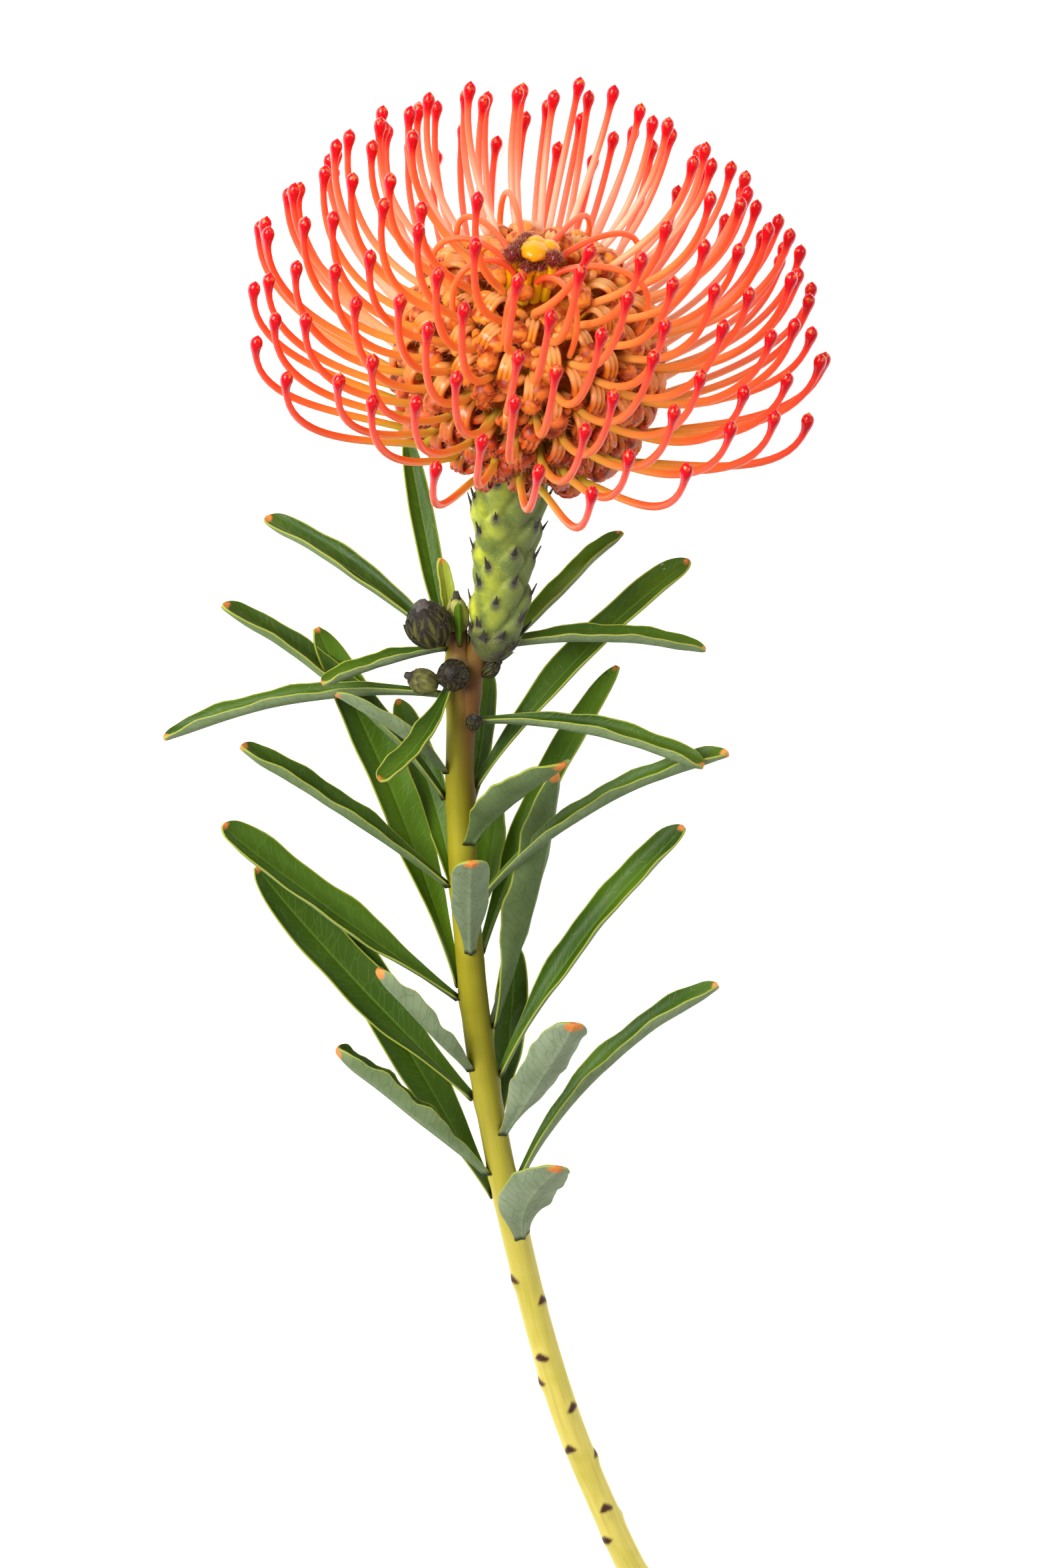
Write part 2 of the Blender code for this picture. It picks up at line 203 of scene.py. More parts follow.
SCAR_HEIGHT = 1.9
SCAR_CUSHION = 0.4                        # how far the bark stands out under a scar
FOOT_CUSHION = 0.25                       # and under a leaf's foot
# Leaf scars: station along the stem, and side of the stem (0 right, 90 up, 180 left, 270 down)
SCARS = [(77, 147), (71.4, 36), (66, 262), (60, 108), (54.7, 156), (51, 300), (47.8, 46), (43.5, 222),
         (39.4, 122), (36, 4), (31, 275), (25, 74), (22, 330), (18.4, 134), (13, 215), (7.5, 20)]
# Leaves: station, side, spread from the stem, extra spread gained by the tip, length, twist towards the
# viewer above, sway, degrees to which the margins are rolled up, width that shows from above, tone (0 deep
# green, 1 fresh green, 2 yellow-green, or left to chance; partly the leaf's own colour and partly painted
# light, as leaves that face the light are given a paler tone) and how much the margins are ruffled
LEAVES = {
    "leaf_01": (86, 60, 45, 15, 29, -25, 14, 30, 10.2, 0.9, 0.9),
    "leaf_02": (94, 206, 20, 2, 68, 40, -2, 35, 7.0, 0.15, 1),
    "leaf_03": (97, 352, 54, 22, 56, 0, 0, 72, 7.0, 0.5, 1),
    "leaf_04": (100, 158, 35, 5, 42, 6, -6, 80, 7.6, 0.2, 1.6),
    "leaf_05": (108, 48, 44, 0, 38, -30, 0, 40, 7.8, 1.0, 1.5),
    "leaf_06": (110, 300, 30, -8, 34, 20, 0, 45, 5.95, None, 1),
    "leaf_07": (115, 192, 35, -3, 62, 45, 0, 45, 6.6, 0.05, 1),
    "leaf_08": (119, 350, 44, 13, 61, 26, 0, 64, 5.7, 0.85, 1),
    "leaf_09": (122, 145, 33, 0, 31, 10, -15, 80, 6.2, 0.6, 1.8),
    "leaf_10": (129, 345, 22, -4, 52, -42, -6, 40, 9.6, 0.0, 1),
    "leaf_11": (136, 180, 46, 0, 57, 34, -3, 60, 6.2, 0.25, 1.2),
    "leaf_12": (138, 205, 17, 8, 75, 35, 0, 45, 6.8, 0.55, 1),
    "leaf_13": (146, 84, 40, 8, 34, 0, 0, 30, 7.0, 0.75, 0.6),
    "leaf_14": (144, 318, 39, 2, 64, 20, -10, 55, 5.6, 0.85, 1),
    "leaf_15": (150, 300, 30, -10, 24, 10, 0, 45, 5.525, None, 1),
    "leaf_16": (154, 240, 25, 14, 42, 20, 0, 45, 5.525, 0.5, 1),
    "leaf_17": (156, 6, 58, 19, 57.5, 4, -5, 74, 6.2, None, 1),
    "leaf_18": (159, 174, 49, 7, 49, 10, -4, 74, 6.4, 0.1, 1),
    "leaf_19": (168, 50, 50, 13, 35, 0, 5, 40, 12.5, 0.0, 0.7),
    "leaf_20": (172, 295, 24, -4, 28, 0, 2, 45, 5.1, None, 1),
    "leaf_21": (176, 192, 47, 14, 57, 8, 6, 74, 5.9, 0.0, 1),
    "leaf_22": (178, 334, 48, 13, 61, 26, 0, 66, 5.4, 0.55, 1),
    "leaf_23": (182, 155, 49, 11, 29, -20, -20, 45, 5.1, 0.5, 1),
    "leaf_24": (192, 12, 95, 17, 45, 6, 0, 84, 5.4, 0.3, 1),
    "leaf_25": (205, 350, 94, 16, 46, 8, 0, 78, 5.2, 0.35, 1),
    "leaf_26": (197, 180, 95, 18, 55, 4, 0, 84, 5.2, 0.3, 1),
    "leaf_27": (199, 318, 60, 12, 47, 8, 14, 78, 3.8, 0.8, 1),
    "leaf_28": (200, 130, 126, -6, 25, 10, -15, 66, 4.3, 0.3, 1.6),
    "leaf_29": (202, 240, 16, 3, 44, 20, -2, 45, 4.2, 0.2, 1),
    "leaf_30": (206.5, 164, 97, 10, 25, 6, 2, 84, 4.1, 0.4, 1),
    "leaf_31": (206, 208, 57, 14, 45, 12, -5, 76, 5.2, 0.2, 1),
    "leaf_32": (208, 240, 7, 10, 15, 0, 0, 45, 3.0, 2.0, 1),
    "leaf_33": (207, 80, 12, 0, 9, 0, 0, 45, 1.6, None, 1),
}


def smooth_route(points, steps):
    """Catmull-Rom curve through the points."""
    points = [Vector(point) for point in points]
    ends = [2 * points[0] - points[1]] + points + [2 * points[-1] - points[-2]]
    route = []
    for a, b, c, d in zip(ends, ends[1:], ends[2:], ends[3:]):
        for step in range(steps):
            t = step / steps
            route.append(0.5 * (2 * b + (c - a) * t + (2 * a - 5 * b + 4 * c - d) * t ** 2
                                + (3 * b - a - 3 * c + d) * t ** 3))
    return route + [points[-1]]


def route_length(route):
    return sum((end - start).length for start, end in zip(route, route[1:]))


def walk(route, station):
    """The point at that distance along a route, and the direction there."""
    for start, end in zip(route, route[1:]):
        step = (end - start).length
        if station <= step:
            break
        station -= step
    along = (end - start).normalized()
    return start + along * min(station, step), along


def frame_at(route, station):
    """Point on a rod's centreline, with its direction, its right side and its upper side."""
    point, along = walk(route, station)
    right = along.cross(UP).normalized()
    return point, along, right, right.cross(along)


def round_about(right, over, sides):
    """Goes round a rod: the turn from its right side in degrees and in radians, and the way outwards."""
    for side in range(sides):
        turn = math.radians(360 * side / sides)
        yield 360 * side / sides, turn, right * math.cos(turn) + over * math.sin(turn)


def smoothstep(value, low, high):
    share = min(max((value - low) / (high - low), 0), 1)
    return share * share * (3 - 2 * share)


def bell(*ratios):
    """1 at the middle, and less the further off, for distances as shares of the bell's width."""
    return math.exp(-sum(ratio * ratio for ratio in ratios))


def away_from(degrees, where, radius):
    """Distance round a rod between two of its sides, with its sign."""
    return ((degrees - where + 180) % 360 - 180) * math.radians(radius)


def mark_points(mesh, label, values, kind="FLOAT"):
    """Gives a mesh's points a value that its finish or a geometry tree reads."""
    field = "vector" if kind == "FLOAT_VECTOR" else "value"
    mesh.attributes.new(label, kind, "POINT").data.foreach_set(field, values)


def rod_rings(route, length, gap, sides, place_at):
    """Rings along a rod. place_at gives a place's radius and marks from its station, degrees and turn."""
    count, stretch = int(length / gap), route_length(route) / length
    rings = []
    for step in range(count + 1):
        station = length * step / count
        point, _, right, over = frame_at(route, station * stretch)
        ring = []
        for degrees, turn, out in round_about(right, over, sides):
            radius, *marks = place_at(station, degrees, turn)
            ring.append((point + out * radius, *marks))
        rings.append(ring)
    return rings


def skin(name, lofts, labels, finish):
    """A mesh of closed skins. A loft is rings of (point, mark, ...), and labels names the marks."""
    points, faces, marked = [], [], []
    for rings in lofts:
        first, count = len(points), len(rings[0])
        for ring in rings:
            for point, *marks in ring:
                points.append((point + SHIFT) * MM)
                marked.append(marks)
        last = len(points) - count
        mine = [tuple(range(first + count - 1, first - 1, -1)), tuple(range(last, last + count))]
        for row in range(first, last, count):
            for side in range(count):
                after = (side + 1) % count
                mine.append((row + side, row + after, row + count + after, row + count + side))
        volume = 0
        for face in mine:
            for second, third in zip(face[1:], face[2:]):
                volume += points[face[0]].dot(points[second].cross(points[third]))
        faces += mine if volume > 0 else [tuple(reversed(face)) for face in mine]
    mesh = bpy.data.meshes.new(name)
    mesh.from_pydata(points, [], faces)
    for place, label in enumerate(labels.split()):
        mark_points(mesh, label, [marks[place] for marks in marked])
    mesh.materials.append(finish)
    mesh.shade_smooth()
    return mesh


def put_on(mesh, name, slot, *nodes):
    """The finished piece: it rides on the flower's one body and stands for those CAD nodes."""
    piece = link_object(name, mesh)
    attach(piece, "root")
    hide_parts(*nodes)


STEM_LINE = smooth_route(STEM_ROUTE, 4)
STEM_LENGTH = route_length(STEM_LINE)


def stem_radius(station):
    """The stem keeps its thickness up to the fork, and goes on as the thin shoot."""
    share = min(max((station - STEM_LENGTH + SHOOT_LENGTH) / 2.5 + 0.2, 0), 1)
    return STEM_RADIUS + (SHOOT_RADIUS - STEM_RADIUS) * share


def stem_marks(station, degrees):
    """How much a place is raised in mm, how dark its scar is, and how near a leaf's foot it is."""
    raised = scar = foot = 0
    for place, where in SCARS:
        across = abs(away_from(degrees, where, STEM_RADIUS))
        above = station - place
        if abs(above) > 6 or across > 4:
            continue
        raised = max(raised, SCAR_CUSHION * bell(across / 1.5, (above + 0.4) / 1.6))
        half = SCAR_HEIGHT / 2 * (1 - (2 * across / SCAR_WIDTH) ** 2)
        curve = above - 0.35 * (1 - across) - 0.2 * math.sin(2.3 * place + 2.5 * (degrees - where) / 30)
        if half > 0:
            scar = max(scar, 1 - smoothstep(abs(curve) - half, -0.4, 0.3))
    for place, where, *_ in LEAVES.values():
        across = away_from(degrees, where, STEM_RADIUS)
        above = station - place
        if abs(above) < 8:
            raised = max(raised, FOOT_CUSHION * bell(across / 1.6, (above + 0.8) / 2))
            foot = max(foot, bell(across / 0.9, (above - 1.3) / 0.8))
    return raised, scar, foot


# Young bark, green wood under a thin skin: smooth and faintly waxy, yellow-green, paler and drier
# towards the cut, with fine lengthwise streaks and a red-brown flush where the shoots part. Higher up,
# the side away from the light is painted darker olive, as shade.
BARK_MARKS = "station scar foot shady upper"

bark, tree, shader, where, mark = new_finish(
    "young_green_bark", BARK_MARKS, IOR=1.45, Specular_IOR_Level=0.35)
lengthwise = add_node(tree, "ShaderNodeMath", (mark["station"], 0.02), operation="MULTIPLY")
along_bark = add_node(tree, "ShaderNodeCombineXYZ", (mark["shady"], mark["upper"], lengthwise))
streaks = add_node(tree, "ShaderNodeTexNoise", {"Vector": along_bark, "Scale": 4.5, "Detail": 3.0})
patches = add_node(tree, "ShaderNodeTexNoise", {"Vector": where, "Scale": 110.0, "Detail": 2.0})
flush = add_node(tree, "ShaderNodeMath", (mark["shady"], 16.0, mark["station"]), operation="MULTIPLY_ADD")
bark_colour = lay_coats(tree, "dcca62",
                        ("9a9018", (mark["station"], 55, 130, 0, 1)),
                        ("b9ae30", (patches, 0.45, 0.7, 0, 0.5)),
                        ("93821a", (streaks, 0.48, 0.78, 0, 0.3)),
                        # painted shade: darker olive on the side away from the light, on the upper part of
                        # the stem
                        ("706a0e", (mark["shady"], 0, 0.85, 0, 0.85), (mark["station"], 85, 150, 0, 1)),
                        ("6f4026", (flush, 184, 206, 0, 0.95), (patches, 0.4, 0.6, 0.7, 1)),
                        ("2e2010", mark["foot"]),
                        ("452218", mark["scar"]))
dress(tree, shader, Base_Color=bark_colour, Normal=(streaks, 0.25, 0.0002), Roughness=add_node(
    tree, "ShaderNodeMapRange", (streaks, 0, 1, 0.42, 0.6)))


def bark_at(station, degrees, turn):
    """The stem's radius at a place, raised at scars and leaves' feet and faintly ridged, and its marks."""
    raised, scar, foot = stem_marks(station, degrees)
    ridges = 0.05 * math.sin(math.radians(5 * degrees) + station * 0.02)
    radius = stem_radius(station) * (0.965 + 0.015 * math.sin(station * 0.16)) + ridges + raised
    return radius, station, scar, foot, math.cos(turn - SHADY_TURN), math.sin(turn - SHADY_TURN)


stem_rings = rod_rings(smooth_route(STEM_ROUTE, 16), STEM_LENGTH, STEM_STEP, STEM_SIDES, bark_at)
put_on(skin("stem", [stem_rings], BARK_MARKS, bark), "stem_bark", "stem", "stem")


# ------------------------------------------------------------------------------------------------
# Leaves. Leathery strap-shaped blades without a stalk, folded a little along the midrib, with a thin
# yellow-green margin, a grey felted underside, and an orange callus at the tip.
FLOOR_GAP = 0.05
FLOOR_SOFTNESS = 1.0                      # how gradually what droops flattens against the table
LEAF_THICKNESS = 0.6
CALLUS_LENGTH = 1.3                       # the leaf is up to 0.7 times thicker there
LEAF_STEPS = [step / 30 for step in range(28)] + [0.925, 0.945, 0.96, 0.973, 0.984, 0.992, 1]
CAD_LEAF_STEPS = 8
ACROSS = [0, 0.05, 0.13, 0.28, 0.45, 0.6, 0.74, 0.86, 0.94, 1]
MIDRIB_FOLD = 12                          # degrees that the blade rises beside its midrib
FLAT_LEAVES = ("leaf_05", "leaf_13")      # little rolled, but with the square tip of the rolled ones
LEAFLET = "leaf_33"                       # the young bud's own leaf, still without callus or felt


def rest_on_surface(point, clearance):
    """The point where it is well above the table, and eased towards the table's surface below that."""
    over = (point.z - clearance) / FLOOR_SOFTNESS
    if over > 30:
        return point.copy()
    return Vector((point.x, point.y, clearance + FLOOR_SOFTNESS * math.log1p(math.exp(over))))


def leaf_width(share, blunt):
    """Width at a share of the length: narrow at the stem, a strap from the middle on, blunt at the tip."""
    if share < 0.5:
        return 0.3 + 0.7 * smoothstep(share, 0, 0.5)
    return max(0.14, (1 - ((share - 0.5) / 0.5) ** blunt) ** 0.55)


def rolled_half(roll):
    """Half of a blade's section with its margin rolled up: (share across, sideways, up, angle)."""
    sideways = up = 0
    places = [(0, 0, 0, 0)]
    for before, after in zip(ACROSS, ACROSS[1:]):
        bend = smoothstep((before + after) / 2, 0.2, 0.95)
        angle = math.radians(MIDRIB_FOLD + (roll - MIDRIB_FOLD) * bend)
        sideways += math.cos(angle) * (after - before)
        up += math.sin(angle) * (after - before)
        places.append((after, sideways, up, angle))
    return places


def leaf_rings(name):
    """Rings round a blade from its foot to its tip: along its upper face, and back along its underside."""
    station, side, spread, bow, length, twist, sway, roll, shown, tone, ruffle = LEAVES[name]
    chance = random.Random(name)
    drawn = chance.random()
    tone = drawn if tone is None else tone
    waves, phase = chance.uniform(2.2, 3.6), chance.uniform(0, 6.28)
    blunt = 4 if roll < 58 and name not in FLAT_LEAVES else 9
    opened = rolled_half(roll)
    slant = math.radians(min(abs(twist), 45))
    edges = [way * x * math.cos(slant) + y * math.sin(slant) for _, x, y, _ in opened for way in (1, -1)]
    width = shown * 2 / (max(edges) - min(edges))
    root, along, right, over = frame_at(STEM_LINE, station)
    side = math.radians(side)
    away = right * math.cos(side) + over * math.sin(side)
    point = root + away * (stem_radius(station) + 0.1)
    across = along.cross(away)
    rings = []
    reached = 0
    for share in LEAF_STEPS:
        for place in ((reached + share) / 2 + 0.5 / CAD_LEAF_STEPS, share):
            lean = math.radians(spread - bow + 2 * bow * place)
            heading = along * math.cos(lean) + away * math.sin(lean)
            heading = (heading + across * math.tan(math.radians(sway * (2 * place - 1)))).normalized()
            if place > share and share > 0:
                point = point + heading * length * (share - reached)
        reached = share
        upper = along * math.sin(lean) - away * math.cos(lean)
        flat = heading.cross(upper)
        turn = math.radians(twist) * min(share / 0.35, 1)
        if flat.z < 0:
            turn = -turn
        up = upper * math.cos(turn) + flat * math.sin(turn)
        wide = flat * math.cos(turn) - upper * math.sin(turn)
        opened = rolled_half(roll * (0.55 + 0.45 * smoothstep(share, 0, 0.25))
                             * (1 - 0.35 * smoothstep(share, 0.85, 1)))
        section = [(-offset, -x, y, -angle) for offset, x, y, angle in opened[:0:-1]] + opened
        half = 0.5 * width * leaf_width(share, blunt) * (1 + 0.025 * math.sin(phase + share * 17))
        callus = bell((1 - share) * length / CALLUS_LENGTH)
        to_tip = (1 - share) * length + (9 if name == LEAFLET else 0)
        faces = [[], []]
        for offset, x, y, angle in section:
            ruffled = 0.055 * ruffle * math.sin(phase + waves * 6.28 * share + (1.3 if offset > 0 else 0))
            ruffled += 0.03 * ruffle * math.sin(phase * 2 + waves * 14 * share - (2 if offset > 0 else 0))
            ruffled *= abs(offset) ** 1.6 * (smoothstep(share, 0.1, 0.4) - smoothstep(share, 0.93, 0.985))
            centre = point + (wide * x + up * (y - 0.5 * opened[-1][2] + ruffled)) * half
            normal = up * math.cos(angle) - wide * math.sin(angle)
            thick = 0.5 * LEAF_THICKNESS * (0.45 + 0.4 * math.sqrt(1 - 0.98 * offset * offset))
            thick *= 1 + 0.7 * callus
            rib = bell(offset * half / 0.3) * (1 - 0.7 * share)
            for under, height in enumerate((thick - 0.12 * rib, -thick - 0.35 * rib)):
                spot = centre + normal * height
                if spot.z <= LEAF_THICKNESS * 2:
                    spot = rest_on_surface(spot, LEAF_THICKNESS / 2 + FLOOR_GAP)
                marks = (share * length, to_tip, offset, float(under and name != LEAFLET), tone)
                faces[under].append((spot, *marks))
        rings.append(faces[0] + faces[1][::-1])
    return rings


# Living leaf under a thick cuticle: the upper face is deep green with a satin shine and a fine net of
# paler veins, and the underside is grey-green, matt with short felt.
BLADE_MARKS = "from_foot to_tip across under tone"

blade, tree, shader, where, mark = new_finish("leathery_leaf", BLADE_MARKS, IOR=1.45, Specular_IOR_Level=0.24)
from_rib = add_node(tree, "ShaderNodeMath", (mark["across"],), operation="ABSOLUTE")
cloudy, broad, felt = [
    add_node(tree, "ShaderNodeTexNoise", {
        "Vector": where, "Scale": scale, "Detail": detail, "Roughness": roughness})
    for scale, detail, roughness in ((160, 3, 0.6), (45, 1, 0.5), (2600, 1, 0.5))]
# Veins run forward from the midrib at about 40 degrees, some 3 mm apart, joined by a finer net.
wander = add_node(tree, "ShaderNodeMath", (cloudy, 2.2), operation="MULTIPLY")
forwards = add_node(tree, "ShaderNodeMath", (from_rib, -4.2, mark["from_foot"]), operation="MULTIPLY_ADD")
sideways = add_node(tree, "ShaderNodeMath", (mark["across"], 2.6, wander), operation="MULTIPLY_ADD")
vein_place = add_node(tree, "ShaderNodeCombineXYZ", (forwards, sideways, mark["tone"]))
net = add_node(tree, "ShaderNodeTexVoronoi", {"Vector": vein_place, "Scale": 0.5, "Randomness": 1.0},
               feature="DISTANCE_TO_EDGE")
veins = add_node(tree, "ShaderNodeMapRange", (net, 0.01, 0.07, 1, 0))
green = lay_coats(tree, "36500c",
                  ("628614", mark["tone"]),
                  # broad darker patches: partly the leaf's own uneven tone and partly painted light and shade
                  ("2e4a08", (broad, 0.4, 0.7, 0, 1)),
                  ("6f8a35", (veins, 0, 1, 0, 0.12)),
                  ("a3ad3c", (mark["tone"], 1.2, 2, 0, 0.85)),
                  ("68842c", (from_rib, 0.02, 0.08, 0.5, 0)))
felted = lay_coats(tree, "72825e", ("a4b090", cloudy))
grey = lay_coats(tree, "546a34", ("7e9060", cloudy), (felted, mark["tone"]),
                 ("4f6a36", (veins, 0, 1, 0, 0.32)))
# The callus ends in an uneven line that curves towards the tip at the margins.
jagged = add_node(tree, "ShaderNodeMapRange", (cloudy, 0.3, 0.7, -0.8, 0.8))
jagged = add_node(tree, "ShaderNodeMath", (mark["to_tip"], jagged), operation="ADD")
curve = add_node(tree, "ShaderNodeMath", (from_rib, 2.0), operation="POWER")
callus = add_node(tree, "ShaderNodeMath", (curve, 1.3, jagged), operation="MULTIPLY_ADD")
orange = lay_coats(tree, "e9a04c", ("c9542a", cloudy))
leaf_colour = lay_coats(tree, green,
                        (grey, mark["under"]),
                        ("a5ab3a", (from_rib, 0.962, 0.985, 0, 0.8)),
                        (orange, (callus, 0.9, 1.5, 1, 0)),
                        ("2b2414", (mark["from_foot"], 0.3, 1.6, 0.8, 0)))
relief = add_node(tree, "ShaderNodeMath", (felt, veins), operation="ADD")
dress(tree, shader, Base_Color=leaf_colour, Normal=(relief, 0.3, 0.0001), Roughness=add_node(
    tree, "ShaderNodeMapRange", (mark["under"], 0, 1, 0.42, 0.75)))

for name in LEAVES:
    put_on(skin(name, [leaf_rings(name)], BLADE_MARKS, blade), name + "_blade", "leaf", name)


# ------------------------------------------------------------------------------------------------
# Head: the florets sit in spirals on the swollen end of the stalk. Here is the shape that they share,
# a place on the head given by the distance from its axis, the height along it and the turn around it.
HEAD_CENTRE = Vector((7.5, 99.6, 41.0))
HEAD_RISE = 26                            # degrees that the flower looks up from the table
HEAD_LEAN = 9                             # degrees that it leans to the right
HEAD_RADIUS = 24.5
HEAD_HEIGHT = 24.8                        # half of the egg's length along its axis
RECEPTACLE = 0.62                         # the receptacle's size as a share of the cushion's
GOLDEN_ANGLE = 137.50776
FIRST_FLORET = 13                         # younger ones than this stay closed, in the centre
FLORETS = 156
LOWEST_FLORET = 124                       # degrees from the flower's axis

rise, lean = math.radians(HEAD_RISE), math.radians(HEAD_LEAN)
AXIS = Vector((math.cos(rise) * math.sin(lean), math.cos(rise) * math.cos(lean), math.sin(rise)))
RIGHT = AXIS.cross(UP).normalized()
UPWARD = RIGHT.cross(AXIS)


def on_head(radius, height, turn):
    turn = math.radians(turn)
    return HEAD_CENTRE + RIGHT * radius * math.cos(turn) + UPWARD * radius * math.sin(turn) + AXIS * height


def on_egg(tilt, turn, size=1):
    """A place on the cushion's egg, or on the receptacle's smaller one, tilted in radians from the axis."""
    return on_head(size * HEAD_RADIUS * math.sin(tilt), size * HEAD_HEIGHT * math.cos(tilt), turn)


def floret_tilt(number):
    """Angle from the flower's axis in radians: every floret takes the same area of the cushion."""
    share = max(number, 0) / FLORETS
    return math.acos(1 - share * (1 - math.cos(math.radians(LOWEST_FLORET))))


def floret_age(number):
    """0 for the youngest open floret, 1 for the oldest."""
    return (number - FIRST_FLORET) / (FLORETS - FIRST_FLORET)


# ------------------------------------------------------------------------------------------------
# Flower stalk. A thick green neck under the head, covered with pointed bracts that are grown to it:
# each is a soft pillow that ends in a dark, hairy point. Low down they are small, dark and crowded.
NECK_ROUTE = [(-1.5, 41.9, 21.2), (0.8, 45.6, 21.9), (2.2, 52, 22.8), (2.9, 60, 24.5), (3.7, 69, 27.2)]
NECK_END = 17                             # how far below the cushion's middle the neck ends
NECK_PROFILE = [(0, 2.4), (0.7, 3.4), (1.7, 4.15), (3.2, 4.7), (5.5, 5.0), (9, 5.3), (16, 5.65), (24, 6.1),
                (29, 6.7), (40, 7.2)]     # radius at each distance along it
NECK_SIDES = 72
NECK_STEP = 0.35
BRACT_RISE = 0.93                         # between one bract and the next around the spiral
LOWEST_BRACT = 2.2
CROWDED_BELOW = 7                         # where the spiral rises only 0.4 times as fast
BRACT_HEIGHT = 3.9                        # half of the pillow's length
BRACT_WIDTH = 3.3                         # half of its width

neck_line = smooth_route(NECK_ROUTE + [on_head(0, -NECK_END, 0)], 10)
neck_length = route_length(neck_line)
bracts = []
rise = LOWEST_BRACT
while rise < neck_length:
    chance = random.Random(len(bracts))
    place = rise + chance.uniform(-0.9, 0.9)
    bracts.append((place, (len(bracts) * GOLDEN_ANGLE + chance.uniform(-12, 12)) % 360))
    rise += BRACT_RISE * (1 if rise > CROWDED_BELOW else 0.4)


def profile_at(profile, station):
    """The radius that a profile of (station, radius) gives there."""
    for (low, small), (high, large) in zip(profile, profile[1:]):
        if station <= high:
            break
    return small + (large - small) * (station - low) / (high - low)


def bract_relief(station, degrees):
    """How far the nearest bract's pillow stands out, and its darkness: stain at the point, painted shadow
    below.
    """
    pillow = dark = 0
    for place, where in bracts:
        above = station - place
        if abs(above) > 8:
            continue
        across = away_from(degrees, where, profile_at(NECK_PROFILE, station))
        size = 1 if place > 9 else 0.75
        narrow = BRACT_WIDTH * size * (1 - 0.45 * smoothstep(above, -2.5, 1.5))
        oval = (abs(above + 1.9) / (1.1 * BRACT_HEIGHT * size)) ** 1.6 + (abs(across) / narrow) ** 1.6
        pillow = max(pillow, max(0, 1 - oval) ** 0.6 * (0.5 + 0.5 * smoothstep(above, -4.5, 0.8)))
        wide, tall = (2.05, 0.8) if place < 5 else (1.15, 1.4)
        # painted shadow under each point, a little to one side
        shadow = 0.42 * math.exp(-(across - 0.5) ** 2 / 2.6 - (above - 0.9) ** 2 / 3.4)
        dark = max(dark, bell(across / wide, (above - 0.1) / tall), shadow)
    return pillow, dark


# Soft green plant skin with a short white down: yellow-green on the pillows, and stained grey-brown
# towards each point. Painted shade makes it greyer on the side away from the light and darker in the
# folds between pillows, and a painted shadow falls below each point.
NECK_MARKS = "pillow dark crowded shady"

stalk_green, tree, shader, where, mark = new_finish(
    "downy_green_bract", NECK_MARKS, IOR=1.42, Roughness=0.65, Specular_IOR_Level=0.3, Sheen_Weight=0.12,
    Sheen_Roughness=0.5)
mottle, down = [add_node(tree, "ShaderNodeTexNoise", {"Vector": where, "Scale": scale, "Detail": detail})
                for scale, detail in ((210, 4), (3200, 1))]
bract_colour = lay_coats(tree, "c4ca34",
                         ("75852c", (mottle, 0.38, 0.62, 0, 1)),
                         # painted shade: greyer on the side away from the light
                         ("64713f", (mark["shady"], -0.5, 0.9, 0, 0.9)),
                         # painted shade: darker in the folds between the pillows
                         ("5c6a2a", (mark["pillow"], 0, 0.4, 0.6, 0)),
                         ("4e5226", (mark["crowded"], 0, 1, 0, 0.88)),
                         # stain at each point, and the painted shadow below it
                         ("453f36", (mark["dark"], 0.2, 0.9, 0, 0.9)),
                         ("b4bf8a", (down, 0.58, 0.75, 0, 0.28)))
dress(tree, shader, Base_Color=bract_colour, Normal=(down, 0.35, 0.0001))


def bract_at(station, degrees, turn):
    """The neck's radius at a place, with the bracts' pillows standing out, and its marks."""
    pillow, dark = bract_relief(station, degrees)
    radius = profile_at(NECK_PROFILE, station) - 0.8 + 1.5 * pillow * smoothstep(station, 1, 5)
    return radius, pillow, dark, 1 - smoothstep(station, 3.5, 8.5), math.cos(turn - 0.4)


neck_rings = rod_rings(neck_line, neck_length, NECK_STEP, NECK_SIDES, bract_at)
put_on(skin("neck", [neck_rings], NECK_MARKS, stalk_green), "stalk_neck", "stalk", "flower_stalk")

# Below the neck the stalk leaves the stem's right side as a short red-brown rod.
STALK_FOOT = [(-4.6, 22, 19.4), (-3.9, 29, 20.2), (-3.3, 36, 20.9), (-2.4, 41.5, 21.3), (-0.6, 46.5, 21.9)]
FOOT_RADIUS = 2.2
FOOT_SIDES = 20
FOOT_STATION = 204                        # where the stem has the same colour

foot_rings = []
foot_line = smooth_route(STALK_FOOT, 6)
for step, (point, after) in enumerate(zip(foot_line, foot_line[1:])):
    _, _, right, over = frame_at([point, after], 0)
    radius = FOOT_RADIUS * (0.4 + 0.6 * smoothstep(step, 0, 8)) * (1 + 0.05 * math.sin(step * 1.3))
    # painted shade: the rod is marked shady all round, most on the side away from the light
    foot_rings.append([(point + out * radius, FOOT_STATION + step * 0.8, 0.0, 0.0,
                        0.6 + 0.4 * math.cos(turn - SHADY_TURN))
                       for _, turn, out in round_about(right, over, FOOT_SIDES)])
put_on(skin("stalk_foot", [foot_rings], "station scar foot shady", bark), "stalk_foot", "stalk")

# Above the neck the stalk swells into the receptacle, a woolly egg between the florets' feet.
WOOL = 1.24                               # the woolly egg's size against the receptacle
EGG_FOOT = -19                            # where it ends, along the flower's axis
EGG_STEPS = 24
EGG_SIDES = 48

# Dense short wool: matt, with tufts that are golden at their ends and rusty in between.
receptacle_wool, tree, shader, where, _ = new_finish(
    "woolly_receptacle", IOR=1.4, Roughness=0.9, Specular_IOR_Level=0.2)
wool = add_node(tree, "ShaderNodeTexNoise", {"Vector": where, "Scale": 700.0, "Detail": 3.0})
dress(tree, shader, Base_Color=lay_coats(tree, "b8480e", ("d88024", (wool, 0.35, 0.65, 0, 1))),
      Normal=(wool, 0.8, 0.0004))

